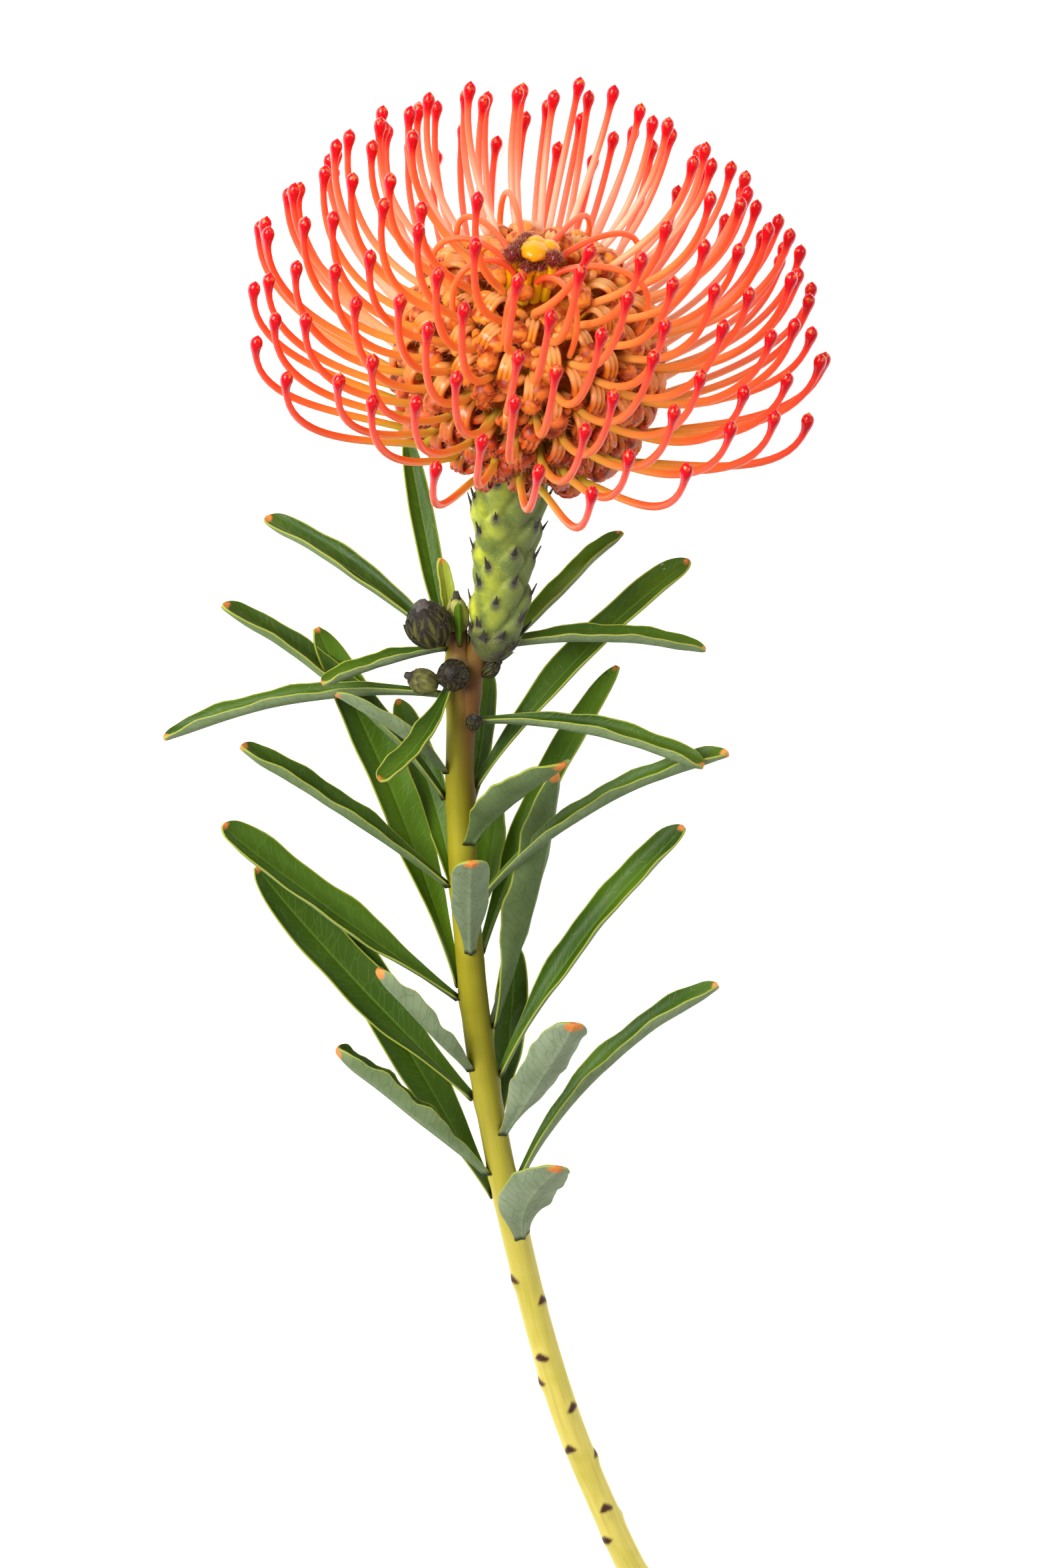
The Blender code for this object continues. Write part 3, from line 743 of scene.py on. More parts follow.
egg_height, egg_radius = WOOL * RECEPTACLE * HEAD_HEIGHT, WOOL * RECEPTACLE * HEAD_RADIUS
egg_rings = []
for step in range(EGG_STEPS + 1):
    height = EGG_FOOT + (egg_height - 0.05 - EGG_FOOT) * step / EGG_STEPS
    wide = max(egg_radius * math.sqrt(max(1 - (height / egg_height) ** 2, 0)), 0.3)
    if height < -6:
        wide = max(wide, 5.5 + 5.5 * smoothstep(height, EGG_FOOT, -12))
    egg_rings.append([(on_head(wide, height, 360 * side / EGG_SIDES),) for side in range(EGG_SIDES)])
put_on(skin("receptacle", [egg_rings], "", receptacle_wool), "receptacle", "stalk")


# ------------------------------------------------------------------------------------------------
# Hairs and copies. Short hairs cover the bracts' points, the buds and the florets' tips, and the same
# few shapes are repeated over the head: these two trees plant them and keep them as plain meshes.


def new_tree(name, inputs):
    """A geometry tree with a geometry input and output, and the named inputs that it takes."""
    made = bpy.data.node_groups.new(name, "GeometryNodeTree")
    made.interface.new_socket("Guide", in_out="INPUT", socket_type="NodeSocketGeometry")
    for label, kind in inputs.items():
        made.interface.new_socket(label, in_out="INPUT", socket_type="NodeSocket" + kind)
    made.interface.new_socket("Result", in_out="OUTPUT", socket_type="NodeSocketGeometry")
    return made, add_node(made, "NodeGroupInput").outputs


def end_tree(tree, result, finish):
    """Ends a geometry tree: its result becomes plain mesh and gets its finish."""
    plain = add_node(tree, "GeometryNodeRealizeInstances", (result,))
    finished = add_node(tree, "GeometryNodeSetMaterial", {"Geometry": plain, "Material": finish})
    add_node(tree, "NodeGroupOutput", (finished,))


def grow(name, guide, tree, inputs):
    """Runs a geometry tree on a guide mesh, and gives the result as a plain mesh."""
    holder = link_object(name, guide)
    modifier = holder.modifiers.new("growth", "NODES")
    modifier.node_group = tree
    for item in tree.interface.items_tree:
        if item.in_out == "INPUT" and item.name in inputs:
            modifier[item.identifier] = inputs[item.name]
    graph = bpy.context.evaluated_depsgraph_get()
    made = bpy.data.meshes.new_from_object(holder.evaluated_get(graph), preserve_all_data_layers=True,
                                           depsgraph=graph)
    holder.modifiers.remove(modifier)
    bpy.data.objects.remove(holder)
    made.name = name
    return made


hair_tree, given = new_tree("hairs_over_a_skin", {"Hairs per square metre": "Float", "Hair length": "Float",
                                                  "Hair width": "Float", "Lean": "Float", "Seed": "Int",
                                                  "Finish": "Material"})
hairy = add_node(hair_tree, "GeometryNodeInputNamedAttribute", {"Name": "hairy"}, data_type="FLOAT")
density = add_node(hair_tree, "ShaderNodeMath", (given["Hairs per square metre"], hairy),
                   operation="MULTIPLY")
planted = add_node(hair_tree, "GeometryNodeDistributePointsOnFaces", {
    "Mesh": given["Guide"], "Density": density, "Seed": given["Seed"]})
hair = add_node(hair_tree, "GeometryNodeMeshCone", {
    "Vertices": 3, "Radius Top": 0.0, "Radius Bottom": given["Hair width"], "Depth": given["Hair length"]})
lean_back = add_node(hair_tree, "ShaderNodeMath", (given["Lean"], -1.0), operation="MULTIPLY")
lean_by = add_node(hair_tree, "FunctionNodeRandomValue", {
    0: add_node(hair_tree, "ShaderNodeCombineXYZ", (lean_back, lean_back)),
    1: add_node(hair_tree, "ShaderNodeCombineXYZ", (given["Lean"], given["Lean"])),
    "Seed": given["Seed"]}, data_type="FLOAT_VECTOR")
turned = add_node(hair_tree, "FunctionNodeRotateRotation", {
    "Rotation": planted.outputs["Rotation"], "Rotate By": add_node(
        hair_tree, "FunctionNodeEulerToRotation", (lean_by,))}, rotation_space="LOCAL")
sized = add_node(hair_tree, "FunctionNodeRandomValue", {2: 0.5, 3: 1.25, "Seed": given["Seed"]})
hairs = add_node(hair_tree, "GeometryNodeInstanceOnPoints", {
    "Points": planted, "Instance": hair, "Rotation": turned, "Scale": sized.outputs[1]})
marked = add_node(hair_tree, "GeometryNodeStoreNamedAttribute", {
    "Geometry": add_node(hair_tree, "GeometryNodeRealizeInstances", (hairs,)), "Name": "hair", "Value": 1.0},
    data_type="FLOAT", domain="POINT")
both = add_node(hair_tree, "GeometryNodeJoinGeometry", (marked,))
hair_tree.links.new(given["Guide"], both.inputs[0])
end_tree(hair_tree, both, given["Finish"])


def with_hairs(name, mesh, finish, seed, dense, length, width, lean):
    """The shape with its hairs: how many per square metre, their length and width, how far they lean."""
    return grow(name, mesh, hair_tree, {
        "Hairs per square metre": dense, "Hair length": length * MM, "Hair width": width * MM, "Lean": lean,
        "Seed": seed, "Finish": finish})


copy_tree, given = new_tree("copies_on_marks", {"Shapes": "Collection", "Finish": "Material"})
turn_to, size_to, kind_of = [
    add_node(copy_tree, "GeometryNodeInputNamedAttribute", {"Name": label}, data_type=kind)
    for label, kind in (("turn", "FLOAT_VECTOR"), ("size", "FLOAT_VECTOR"), ("kind", "INT"))]
shapes = add_node(copy_tree, "GeometryNodeCollectionInfo", {
    "Collection": given["Shapes"], "Separate Children": True, "Reset Children": True})
copies = add_node(copy_tree, "GeometryNodeInstanceOnPoints", {
    "Points": given["Guide"], "Instance": shapes, "Pick Instance": True, "Instance Index": kind_of,
    "Rotation": add_node(copy_tree, "FunctionNodeEulerToRotation", (turn_to,)), "Scale": size_to})
end_tree(copy_tree, copies, given["Finish"])


def plant_copies(name, places, shapes, finish):
    """A plain mesh with a shape at each of the places (point, side, ahead, outwards, size, kind, tone)."""
    mesh = bpy.data.meshes.new(name + "_marks")
    mesh.from_pydata([(place[0] + SHIFT) * MM for place in places], [], [])
    turns = [angle for _, side, ahead, outwards, *_ in places
             for angle in Matrix((side, ahead, outwards)).transposed().to_euler()]
    for label, kind, values in (("turn", "FLOAT_VECTOR", turns),
                                ("size", "FLOAT_VECTOR", [size for place in places for size in place[4]]),
                                ("kind", "INT", [place[5] for place in places]),
                                ("tone", "FLOAT", [place[6] for place in places])):
        mark_points(mesh, label, values, kind)
    return grow(name, mesh, copy_tree, {"Shapes": shapes, "Finish": finish})


def shape_set(name, meshes):
    """A collection that holds the shapes to copy."""
    made = bpy.data.collections.new(name)
    for number, mesh in enumerate(meshes):
        made.objects.link(bpy.data.objects.new(f"{name}_{number}", mesh))
    return made


def drop_shapes(collection):
    for shape in list(collection.objects):
        bpy.data.objects.remove(shape)
    bpy.data.collections.remove(collection)


def level(mesh):
    """A shape to be copied is drawn about the origin, so the shift to the row frame is taken out again."""
    mesh.transform(Matrix.Translation(-SHIFT * MM))
    return mesh


# ------------------------------------------------------------------------------------------------
# Points of the bracts. Each pillow ends in a flat, tapering point of dark dry tissue that lifts off
# the stalk a little, fringed with short grey hairs.
POINT_LENGTH = 4.8
POINT_WIDTH = 2.6
POINT_STEPS = 9
POINT_SIDES = 12
POINT_HAIRS = (4.5e6, 0.6, 0.03, 0.9)     # how many per square metre, length, width, lean
LOWEST_POINT = 2.8

# Dry, dead plant tissue: nearly black and matt, greener at its foot, with paler fibres and hairs.
bract_dark, tree, shader, where, mark = new_finish(
    "dry_hairy_bract_point", "up hair", IOR=1.4, Roughness=0.85, Specular_IOR_Level=0.3)
fibres = add_node(tree, "ShaderNodeTexNoise", {"Vector": where, "Scale": 1500.0, "Detail": 2.0})
dry_colour = lay_coats(tree, "1d1b19",
                       ("4c4740", fibres),
                       ("57552f", (mark["up"], 0.05, 0.5, 0.9, 0)),
                       ("6b665f", mark["hair"]))
dress(tree, shader, Base_Color=dry_colour)

rings = []
for step in range(POINT_STEPS + 1):
    up = step / POINT_STEPS
    half = 0.5 * POINT_WIDTH * (1 - up) ** 1.25 + 0.06
    middle = -0.05 - 0.9 * (1 - up) ** 3 + 0.9 * up ** 1.5
    ring = []
    for side in range(POINT_SIDES):
        turn = 2 * math.pi * side / POINT_SIDES
        lift = middle + (0.42 - 0.3 * up) * math.sin(turn) - 0.25 * math.cos(turn) ** 2 * half
        spot = Vector((half * math.cos(turn), POINT_LENGTH * (up - 0.42), lift))
        ring.append((spot, up, smoothstep(up, 0.1, 0.4)))
    rings.append(ring)
point_mesh = level(skin("bract_point", [rings], "up hairy", bract_dark))
point_mesh = with_hairs("bract_point", point_mesh, bract_dark, 4, *POINT_HAIRS)

places = []
for number, (station, degrees) in enumerate(bracts):
    chance = random.Random(100 + number)
    if station > neck_length - 0.5 or station < LOWEST_POINT:
        continue
    point, along, right, over = frame_at(neck_line, station)
    turn = math.radians(degrees)
    outwards = right * math.cos(turn) + over * math.sin(turn)
    low = smoothstep(station, 3, 9)
    spot = point + outwards * (profile_at(NECK_PROFILE, station) - 0.75 + 0.8 * smoothstep(station, 1, 5))
    slope = profile_at(NECK_PROFILE, station + 2) - profile_at(NECK_PROFILE, max(station - 0.5, 0))
    ahead = along + outwards * min(slope / 2.5 + 0.04, 0.04 + 0.3 * low)
    ahead = (ahead + along.cross(outwards) * chance.uniform(-0.15, 0.15)).normalized()
    side = ahead.cross(outwards).normalized()
    scale = chance.uniform(0.8, 1.2) * (0.62 + 0.38 * low)
    size = (scale * chance.uniform(0.85, 1.15) * (2 - low), scale, scale)
    places.append((spot, side, ahead, side.cross(ahead), size, 0, chance.random()))
shapes = shape_set("bract_points", [point_mesh])
put_on(plant_copies("bract_points", places, shapes, bract_dark), "bract_points", "stalk")
drop_shapes(shapes)


# ------------------------------------------------------------------------------------------------
# Side buds. Small egg-shaped buds in the upper leaf axils, wrapped in overlapping scales: olive green
# with dark veins, black-brown and hairy at their edges and points. One is a young, pale leafy bud.
BUDS = {                                  # centre, radius across and along, way that it points, how pale
    "bud_large": ((-11.0, 48.4, 26.2), 4.2, 4.3, (-0.28, 0.9, 0.3), 0),
    "bud_front": ((-6.5, 39.2, 26.4), 2.9, 3.0, (-0.15, 0.35, 0.92), 0),
    "bud_left": ((-11.9, 37.7, 25.3), 2.4, 2.9, (-0.9, 0.4, 0.2), 0.35),
    "bud_pale": ((-5.7, 49.6, 22.4), 2.1, 3.6, (-0.05, 1.0, 0.15), 1),
    "bud_axil": ((-2.7, 29.6, 23.5), 1.5, 1.8, (0.1, 0.7, 0.7), 0),
    "bud_right": ((0.3, 39.4, 21.7), 1.6, 2.0, (0.8, 0.6, 0.1), 0),
}
CORE_STEPS = 12
CORE_SIDES = 24
SCALE_STEPS = 8
SCALE_THICKNESS = 0.06                    # as a share of the bud's radius
TUFT_STEPS = 6
TUFT_SIDES = 12
BUD_HAIRS = (5e6, 0.45, 0.025, 0.9)
BUD_MARKS = "up aside hairy pale towards_tip hair"

# Scales are thin leathery leaves: matt, ribbed lengthwise, and dead and dark where they are oldest.
bud_skin, tree, shader, where, mark = new_finish(
    "hairy_bud_scale", BUD_MARKS, IOR=1.42, Roughness=0.7, Specular_IOR_Level=0.3)
ribs = add_node(tree, "ShaderNodeMath", (mark["aside"], 9.0), operation="MULTIPLY")
ribs = add_node(tree, "ShaderNodeMath", (ribs,), operation="COSINE")
fibres = add_node(tree, "ShaderNodeTexNoise", {"Vector": where, "Scale": 900.0, "Detail": 3.0})
olive = lay_coats(tree, "2c2812", ("58562a", (ribs, -0.2, 0.9, 0, 1)), ("a9a858", mark["pale"]))
# Dark towards a scale's point and sides, less so on pale buds, and dark all over near the bud's tip.
point_edge = add_node(tree, "ShaderNodeMapRange", (mark["up"], 0.55, 0.9, 0, 1))
side_edge = add_node(tree, "ShaderNodeMath", (mark["aside"],), operation="ABSOLUTE")
side_edge = add_node(tree, "ShaderNodeMapRange", (side_edge, 0.7, 0.95, 0, 0.8))
edge = add_node(tree, "ShaderNodeMath", (point_edge, side_edge), operation="MAXIMUM")
for amount in ((fibres, 0.3, 0.6, 0.5, 1), (mark["pale"], 0, 1, 1, 0.35)):
    amount = add_node(tree, "ShaderNodeMapRange", amount)
    edge = add_node(tree, "ShaderNodeMath", (edge, amount), operation="MULTIPLY")
crown = add_node(tree, "ShaderNodeMapRange", (mark["pale"], 0, 1, 0.7, 0.54))
crown = add_node(tree, "ShaderNodeMath", (crown, mark["towards_tip"]), operation="ADD")
crown = add_node(tree, "ShaderNodeMapRange", (crown, 1.36, 1.52, 0, 0.9))
edge = add_node(tree, "ShaderNodeMath", (edge, crown), operation="MAXIMUM")
hair_colour = lay_coats(tree, "3c3633", ("b0a8a2", fibres))
dress(tree, shader, Base_Color=lay_coats(tree, olive, ("241f1c", edge), (hair_colour, mark["hair"])),
      Normal=(fibres, 0.5, 0.0002))

for name, (centre, across, length, direction, pale) in BUDS.items():
    centre, forward = Vector(centre), Vector(direction).normalized()
    sideways = forward.cross(UP).normalized()
    upwards = sideways.cross(forward)

    def on_bud(polar, turn, out):
        """A place on the bud: polar angle from its tip, turn round it, and how far out."""
        radial = sideways * math.cos(turn) + upwards * math.sin(turn)
        return centre + (radial * across * math.sin(polar) + forward * length * math.cos(polar)) * out

    core = []
    for step in range(CORE_STEPS + 1):
        polar = math.pi * (0.985 - 0.97 * step / CORE_STEPS)
        marks = (0.3, 0.0, 0.0, pale, 1 - polar / math.pi, 0.0)
        core.append([(on_bud(polar, 2 * math.pi * place / CORE_SIDES, 0.93), *marks)
                     for place in range(CORE_SIDES)])
    lofts = [core]
    scale_count = 8 if pale == 1 else (24 if across > 2 else 14)
    for number in range(scale_count):
        chance = random.Random(name + str(number))
        share = (number + 0.5) / scale_count
        foot = math.radians(170 - 128 * share)
        turn = math.radians(number * GOLDEN_ANGLE + chance.uniform(-8, 8))
        tall = math.radians((84 if pale < 1 else 110) * chance.uniform(0.85, 1.15) * (1 - 0.45 * share))
        half = 0.82 * chance.uniform(0.85, 1.15) * (1 - 0.35 * share)
        rings = []
        for step in range(SCALE_STEPS + 1):
            up = step / SCALE_STEPS
            polar = max(foot - tall * up, 0.1)
            wide = half * (0.6 + 0.4 * smoothstep(up, 0, 0.4)) * (1 - up ** 2.6) ** 0.8 + 0.02
            wide = min(wide / max(math.sin(polar), 0.35), 1.3)
            hairy = (0.05 + 0.95 * smoothstep(up, 0.6, 0.95)) * (0.2 + 0.8 * smoothstep(share, 0.3, 0.9))
            faces = [[], []]
            for place in range(9):
                aside = place / 4 - 1
                out = 0.95 + 0.06 * share + 0.12 * up + 0.06 * up ** 4 - 0.05 * aside * aside
                out += 0.015 * math.cos(9 * aside) + 0.02 * math.sin(5 * up + number)
                out += 0.1 * smoothstep(share, 0.7, 1) * up * (1 - pale)
                for inside in (0, 1):
                    spot = on_bud(polar, turn + aside * wide, out - SCALE_THICKNESS * inside)
                    faces[inside].append((spot, up, aside, hairy, pale, 1 - polar / math.pi, 0.0))
            rings.append(faces[0] + faces[1][::-1])
        lofts.append(rings)
    # A woolly tuft closes the tip. On the large bud it is a thick knob, and set deeper.
    depth, size, woolly = (0.92, 0.42, 0.35) if name == "bud_large" else (1.06, 0.36, 0.1)
    tuft = []
    for step in range(TUFT_STEPS + 1):
        polar = math.pi * (0.98 - 0.94 * step / TUFT_STEPS)
        ring = []
        for place in range(TUFT_SIDES):
            out = on_bud(polar, 2 * math.pi * place / TUFT_SIDES, 1) - centre
            spot = on_bud(0, 0, depth) + out * (size + 0.07 * math.sin(2.5 * place + step))
            ring.append((spot, 1.0, 0.0, 1.0, 0.3 * pale, 0.9, woolly))
        tuft.append(ring)
    lofts.append(tuft)
    mesh = with_hairs(name, skin(name, lofts, BUD_MARKS, bud_skin), bud_skin, 7, *BUD_HAIRS)
    put_on(mesh, name + "_scales", "bud", name)


# ------------------------------------------------------------------------------------------------
# Florets' covers. Each open floret's cover has split: three of its four segments stay joined in a
# broad grooved ribbon that curls over and back, the fourth curls another way, and each ends in a
# swollen limb covered with pinkish-brown hairs.
RIBBON_THICKNESS = 0.36
GROOVE_DEPTH = 0.46
# The ribbon, the free segment and a strip that tore off the ribbon's back: height where the curl begins,
# its radius, its steps, distance from the floret's axis, width, lobes, and the limb's radii and length
RIBBON = (5.4, 2.6, 10, 0.3, 2.5, 3, (1.35, 1.0, 2.2))
FREE_SEGMENT = (6.4, 1.1, 6, 1.0, 1.6, 1, (1.85, 1.7, 3.5))
TORN_STRIP = (5.3, 1.4, 6, 1.5, 1.7, 1, (1.55, 1.4, 3.0))
LIMB_STEPS = 6
LIMB_SIDES = 10
RIBBON_WAY = 270                          # degrees: down the cushion
# Each kind of cover: the way its free segment curls, and how far the ribbon and the free one are curled
COVER_KINDS = [(20, 172, 112), (0, 165, 100), (175, 182, 105), (35, 170, 120), (150, 178, 95)]
COVER_MARKS = "share lobe hairy limb"
COVER_HAIRS = (2.4e6, 0.9, 0.04, 0.8)


def coil(height, radius, degrees, steps):
    """Places (across, up, turned) along a ribbon: straight up, then to one side in a coil that tightens."""
    route = [(0.0, height * step / 2, 0.0) for step in range(2)]
    across, up = 0.0, height
    for step in range(steps + 1):
        turned = math.radians(degrees) * step / steps
        route.append((across, up, turned))
        reach = radius * (1.15 - 0.45 * step / steps) * math.radians(degrees) / steps
        across += math.sin(turned) * reach
        up += math.cos(turned) * reach
    return route


def ribbon(towards, degrees, height, radius, steps, offset, width, lobes, limb):
    """Rings round a grooved ribbon that curls towards an angle, and rings round the limb at its end."""
    route = coil(height, radius, degrees, steps)
    towards = math.radians(towards)
    curl = Vector((math.cos(towards), math.sin(towards), 0))
    sideways = Vector((-math.sin(towards), math.cos(towards), 0))
    columns = 2 * lobes + (3 if lobes == 1 else 1)
    rings = []
    for number, (across, up, turned) in enumerate(route):
        share = number / (len(route) - 1)
        outer = UP * math.sin(turned) - curl * math.cos(turned)
        middle = curl * (offset + across) + UP * up
        half = 0.5 * width * (0.75 + 0.25 * smoothstep(share, 0, 0.3))
        faces = [[], []]
        for place in range(columns):
            wide = 2 * place / (columns - 1) - 1
            lobe = abs(math.sin(0.5 * lobes * math.pi * (wide + 1))) ** 0.5
            relief = GROOVE_DEPTH * lobe - 0.22 * wide * wide * half
            for inside in (0, 1):
                spot = middle + outer * (relief - RIBBON_THICKNESS * inside) + sideways * half * wide
                faces[inside].append((spot, share, lobe, 0.04 + 0.5 * smoothstep(share, 0.8, 1), 0.0))
        rings.append(faces[0] + faces[1][::-1])
    forward = curl * math.sin(turned) + UP * math.cos(turned)
    wide, thick, long = limb
    bulb = []
    for step in range(LIMB_STEPS + 1):
        polar = math.pi * (0.03 + 0.94 * step / LIMB_STEPS)
        centre = middle + forward * long * (0.3 - 0.5 * math.cos(polar))
        ring = []
        for place in range(LIMB_SIDES):
            turn = 2 * math.pi * place / LIMB_SIDES
            out = sideways * math.cos(turn) * wide + outer * math.sin(turn) * thick
            ring.append((centre + out * math.sin(polar), 1.0, abs(math.cos(turn * 1.5)), 1.0, 1.0))
        bulb.append(ring)
    return [rings, bulb]


# Waxy petal tissue: green-yellow low down, orange, and deeper red-orange on the older florets. A pale
# highlight is painted over the top of each curl, strongest on the young ones, and shade is painted in
# the grooves. The limbs are brownish orange under a coat of short pinkish hairs.
cover, tree, shader, where, mark = new_finish(
    "waxy_orange_petal", "share lobe limb hair tone", IOR=1.45, Specular_IOR_Level=0.5, Subsurface_Weight=0.4,
    Subsurface_Radius=(1.0, 0.45, 0.15), Subsurface_Scale=0.001)
speckle = add_node(tree, "ShaderNodeTexNoise", {"Vector": where, "Scale": 520.0, "Detail": 1.0})
green_end = add_node(tree, "ShaderNodeMath", (mark["tone"], 0.38, 0.24), operation="MULTIPLY_ADD")
golden = (speckle, 0.38, 0.6, 0, 1)
old_limb = lay_coats(tree, "741e08", ("d04e18", golden))
limb_colour = lay_coats(tree, "bc420c", ("fcaa3c", golden), (old_limb, mark["tone"]))
petal = lay_coats(tree, "fd9828",
                  ("d0360a", mark["tone"]),
                  # painted shade: darker in the grooves between the lobes and at the ribbon's edges
                  ("b03408", (mark["lobe"], 0.05, 0.6, 0.7, 0)),
                  # painted highlight: pale over the top of each curl, strongest on the young florets
                  ("ffc680", (mark["share"], 0.22, 0.42, 0, 1), (mark["share"], 0.55, 0.75, 0.5, 0),
                   (mark["tone"], 0, 1, 1.3, 0.3)),
                  ("bcae22", (mark["share"], 0.05, green_end, 1, 0)),
                  ("ff9c38", (speckle, 0.5, 0.75, 0, 0.3)),
                  (limb_colour, mark["limb"]),
                  ("de8054", mark["hair"]))
dress(tree, shader, Base_Color=petal, Roughness=add_node(
    tree, "ShaderNodeMapRange", (mark["limb"], 0.1, 0.8, 0.2, 0.42)))

cover_shapes = []
for number, (free_way, back, front) in enumerate(COVER_KINDS):
    lofts = ribbon(RIBBON_WAY, back, *RIBBON)
    lofts += ribbon(free_way, front, *FREE_SEGMENT)
    lofts += ribbon(free_way + 175, front + 30, *TORN_STRIP)
    cover_mesh = level(skin("cover", lofts, COVER_MARKS, cover))
    cover_shapes.append(with_hairs("cover", cover_mesh, cover, 20 + number, *COVER_HAIRS))


def cover_place(number):
    """Where a floret's cover stands, which kind it is and how old."""
    chance = random.Random(500 + number)
    tilt, turn = floret_tilt(number), number * GOLDEN_ANGLE
    foot = on_egg(tilt, turn, RECEPTACLE)
    outwards = (on_egg(tilt, turn) - foot).normalized()
    yaw = chance.uniform(-0.25, 0.25)
    ahead = (AXIS - outwards * AXIS.dot(outwards)).normalized()
    side = ahead.cross(outwards)
    ahead, side = ahead * math.cos(yaw) + side * math.sin(yaw), side * math.cos(yaw) - ahead * math.sin(yaw)
    size = chance.uniform(1.04, 1.18)
    old = min(max(floret_age(number) * 1.45 - 0.1 + chance.uniform(-0.15, 0.15), 0), 1)
    return foot, side, ahead, outwards, (size, size, size), chance.randrange(len(COVER_KINDS)), old


# ------------------------------------------------------------------------------------------------
# Styles. The pins of the pincushion: stiff waxy rods, cream where they leave the floret, then coral,
# each ending in a club-shaped pollen presenter, glossy red with a tiny point.
SPIRALS = 13
PER_SPIRAL = 11
NEXT_SPIRAL = 8                           # florets between neighbours of two touching spirals
CROWN_RADIUS = 55                         # where the outermost styles end
CROWN_HEIGHT = 50
INNER_TIP = 26                            # degrees from the axis at which the youngest open style ends
OUTER_TIP = 77                            # and the oldest one
STYLE_RADIUS = 0.62
# Radius at each distance from the tip: the presenter's small point, its swelling, and the shaft
PRESENTER = [(0.0, 0.12), (0.25, 0.3), (0.55, 0.66), (0.95, 1.0), (1.5, 1.16), (2.1, 1.16), (2.8, 1.02),
             (3.5, 0.84), (4.4, 0.7), (5.6, 0.63)]
CURVE_STEPS = 15
STYLE_STEP = 2.0
STYLE_SIDES = 10
ASIDE = {19: -17}                         # degrees that a style bends aside from the centre


def bezier(a, b, c, d, t):
    s = 1 - t
    return a * s ** 3 + b * (3 * s * s * t) + c * (3 * s * t * t) + d * t ** 3


def style_route(number):
    """Four control points of an open floret's style: it leaves the cushion, then curves up to its tip."""
    chance = random.Random(number)
    age, tilt, turn = floret_age(number), floret_tilt(number), number * GOLDEN_ANGLE
    tip_tilt = math.radians(INNER_TIP + (OUTER_TIP - INNER_TIP) * age ** 0.85 + chance.uniform(-2, 2))
    tip_size = chance.uniform(0.97, 1.03)
    start = Vector((HEAD_RADIUS * math.sin(tilt), HEAD_HEIGHT * math.cos(tilt)))
    tip = Vector((CROWN_RADIUS * math.sin(tip_tilt), CROWN_HEIGHT * math.cos(tip_tilt))) * tip_size
    reach = (tip - start).length
    leaving = tilt + math.radians(18 * (1 - age) - 56 * age ** 2)
    first = start + Vector((math.sin(leaving), math.cos(leaving))) * reach * (0.45 - 0.09 * age)
    second = tip - Vector((-0.14 * age, 1)).normalized() * reach * (0.36 + 0.02 * age)
    swing = chance.uniform(-2.5, 2.5) + ASIDE.get(number, 0)
    return [on_head(place.x, place.y, turn + swing * share)
            for place, share in ((start, 0), (first, 0.3), (second, 0.8), (tip, 1))]


def style_points(line, age, pale):
    """Points from a style's tip to its foot, close together at the tip."""
    whole = route_length(line)
    stations = [place for place, _ in PRESENTER]
    while stations[-1] + STYLE_STEP < whole:
        stations.append(stations[-1] + STYLE_STEP)
    points = []
    for station in stations + [whole]:
        if station <= PRESENTER[-1][0]:
            radius = profile_at(PRESENTER, station)
        else:
            radius = STYLE_RADIUS + (0.11 - 0.1 * pale) * smoothstep(station, 6, 16)
        spot, _ = walk(line[::-1], station)
        spot = rest_on_surface(spot, radius + FLOOR_GAP)
        points.append((spot, radius * MM, station, 1 - station / whole, age, pale))
    return points


sweep_tree, given = new_tree("rods_along_routes", {"Sides": "Int", "Finish": "Material"})
thickness = add_node(sweep_tree, "GeometryNodeInputNamedAttribute", {"Name": "thickness"}, data_type="FLOAT")
rod = add_node(sweep_tree, "GeometryNodeCurveToMesh", {
    "Curve": add_node(sweep_tree, "GeometryNodeMeshToCurve", (given["Guide"],)),
    "Profile Curve": add_node(sweep_tree, "GeometryNodeCurvePrimitiveCircle", {
        "Resolution": given["Sides"], "Radius": 1.0}),
    "Scale": thickness, "Fill Caps": True})
end_tree(sweep_tree, add_node(sweep_tree, "GeometryNodeSetShadeSmooth", (rod,)), given["Finish"])

STYLE_MARKS = "to_tip share tone pale"


def sweep(name, rods):
    """A plain mesh of styles, one along each list of (point, thickness in metres, marks of its skin)."""
    points = [row for rod in rods for row in rod]
    edges, first = [], 0
    for rod in rods:
        edges += [(place, place + 1) for place in range(first, first + len(rod) - 1)]
        first += len(rod)
    mesh = bpy.data.meshes.new(name + "_lines")
    mesh.from_pydata([(row[0] + SHIFT) * MM for row in points], edges, [])
    for place, label in enumerate(("thickness " + STYLE_MARKS).split(), 1):
        mark_points(mesh, label, [row[place] for row in points])
    return grow(name, mesh, sweep_tree, {"Sides": STYLE_SIDES, "Finish": style_skin})


# Waxy and slightly translucent: cream or yellow-green at the foot, coral above, and a glossy red
# presenter that is dusted with orange pollen at its end. Styles of the far side stay paler.
style_skin, tree, shader, where, mark = new_finish(
    "waxy_coral_style", STYLE_MARKS, IOR=1.46, Specular_IOR_Level=0.35, Coat_Weight=0.12, Coat_Roughness=0.1,
    Subsurface_Weight=0.35, Subsurface_Radius=(1.0, 0.35, 0.12), Subsurface_Scale=0.002)
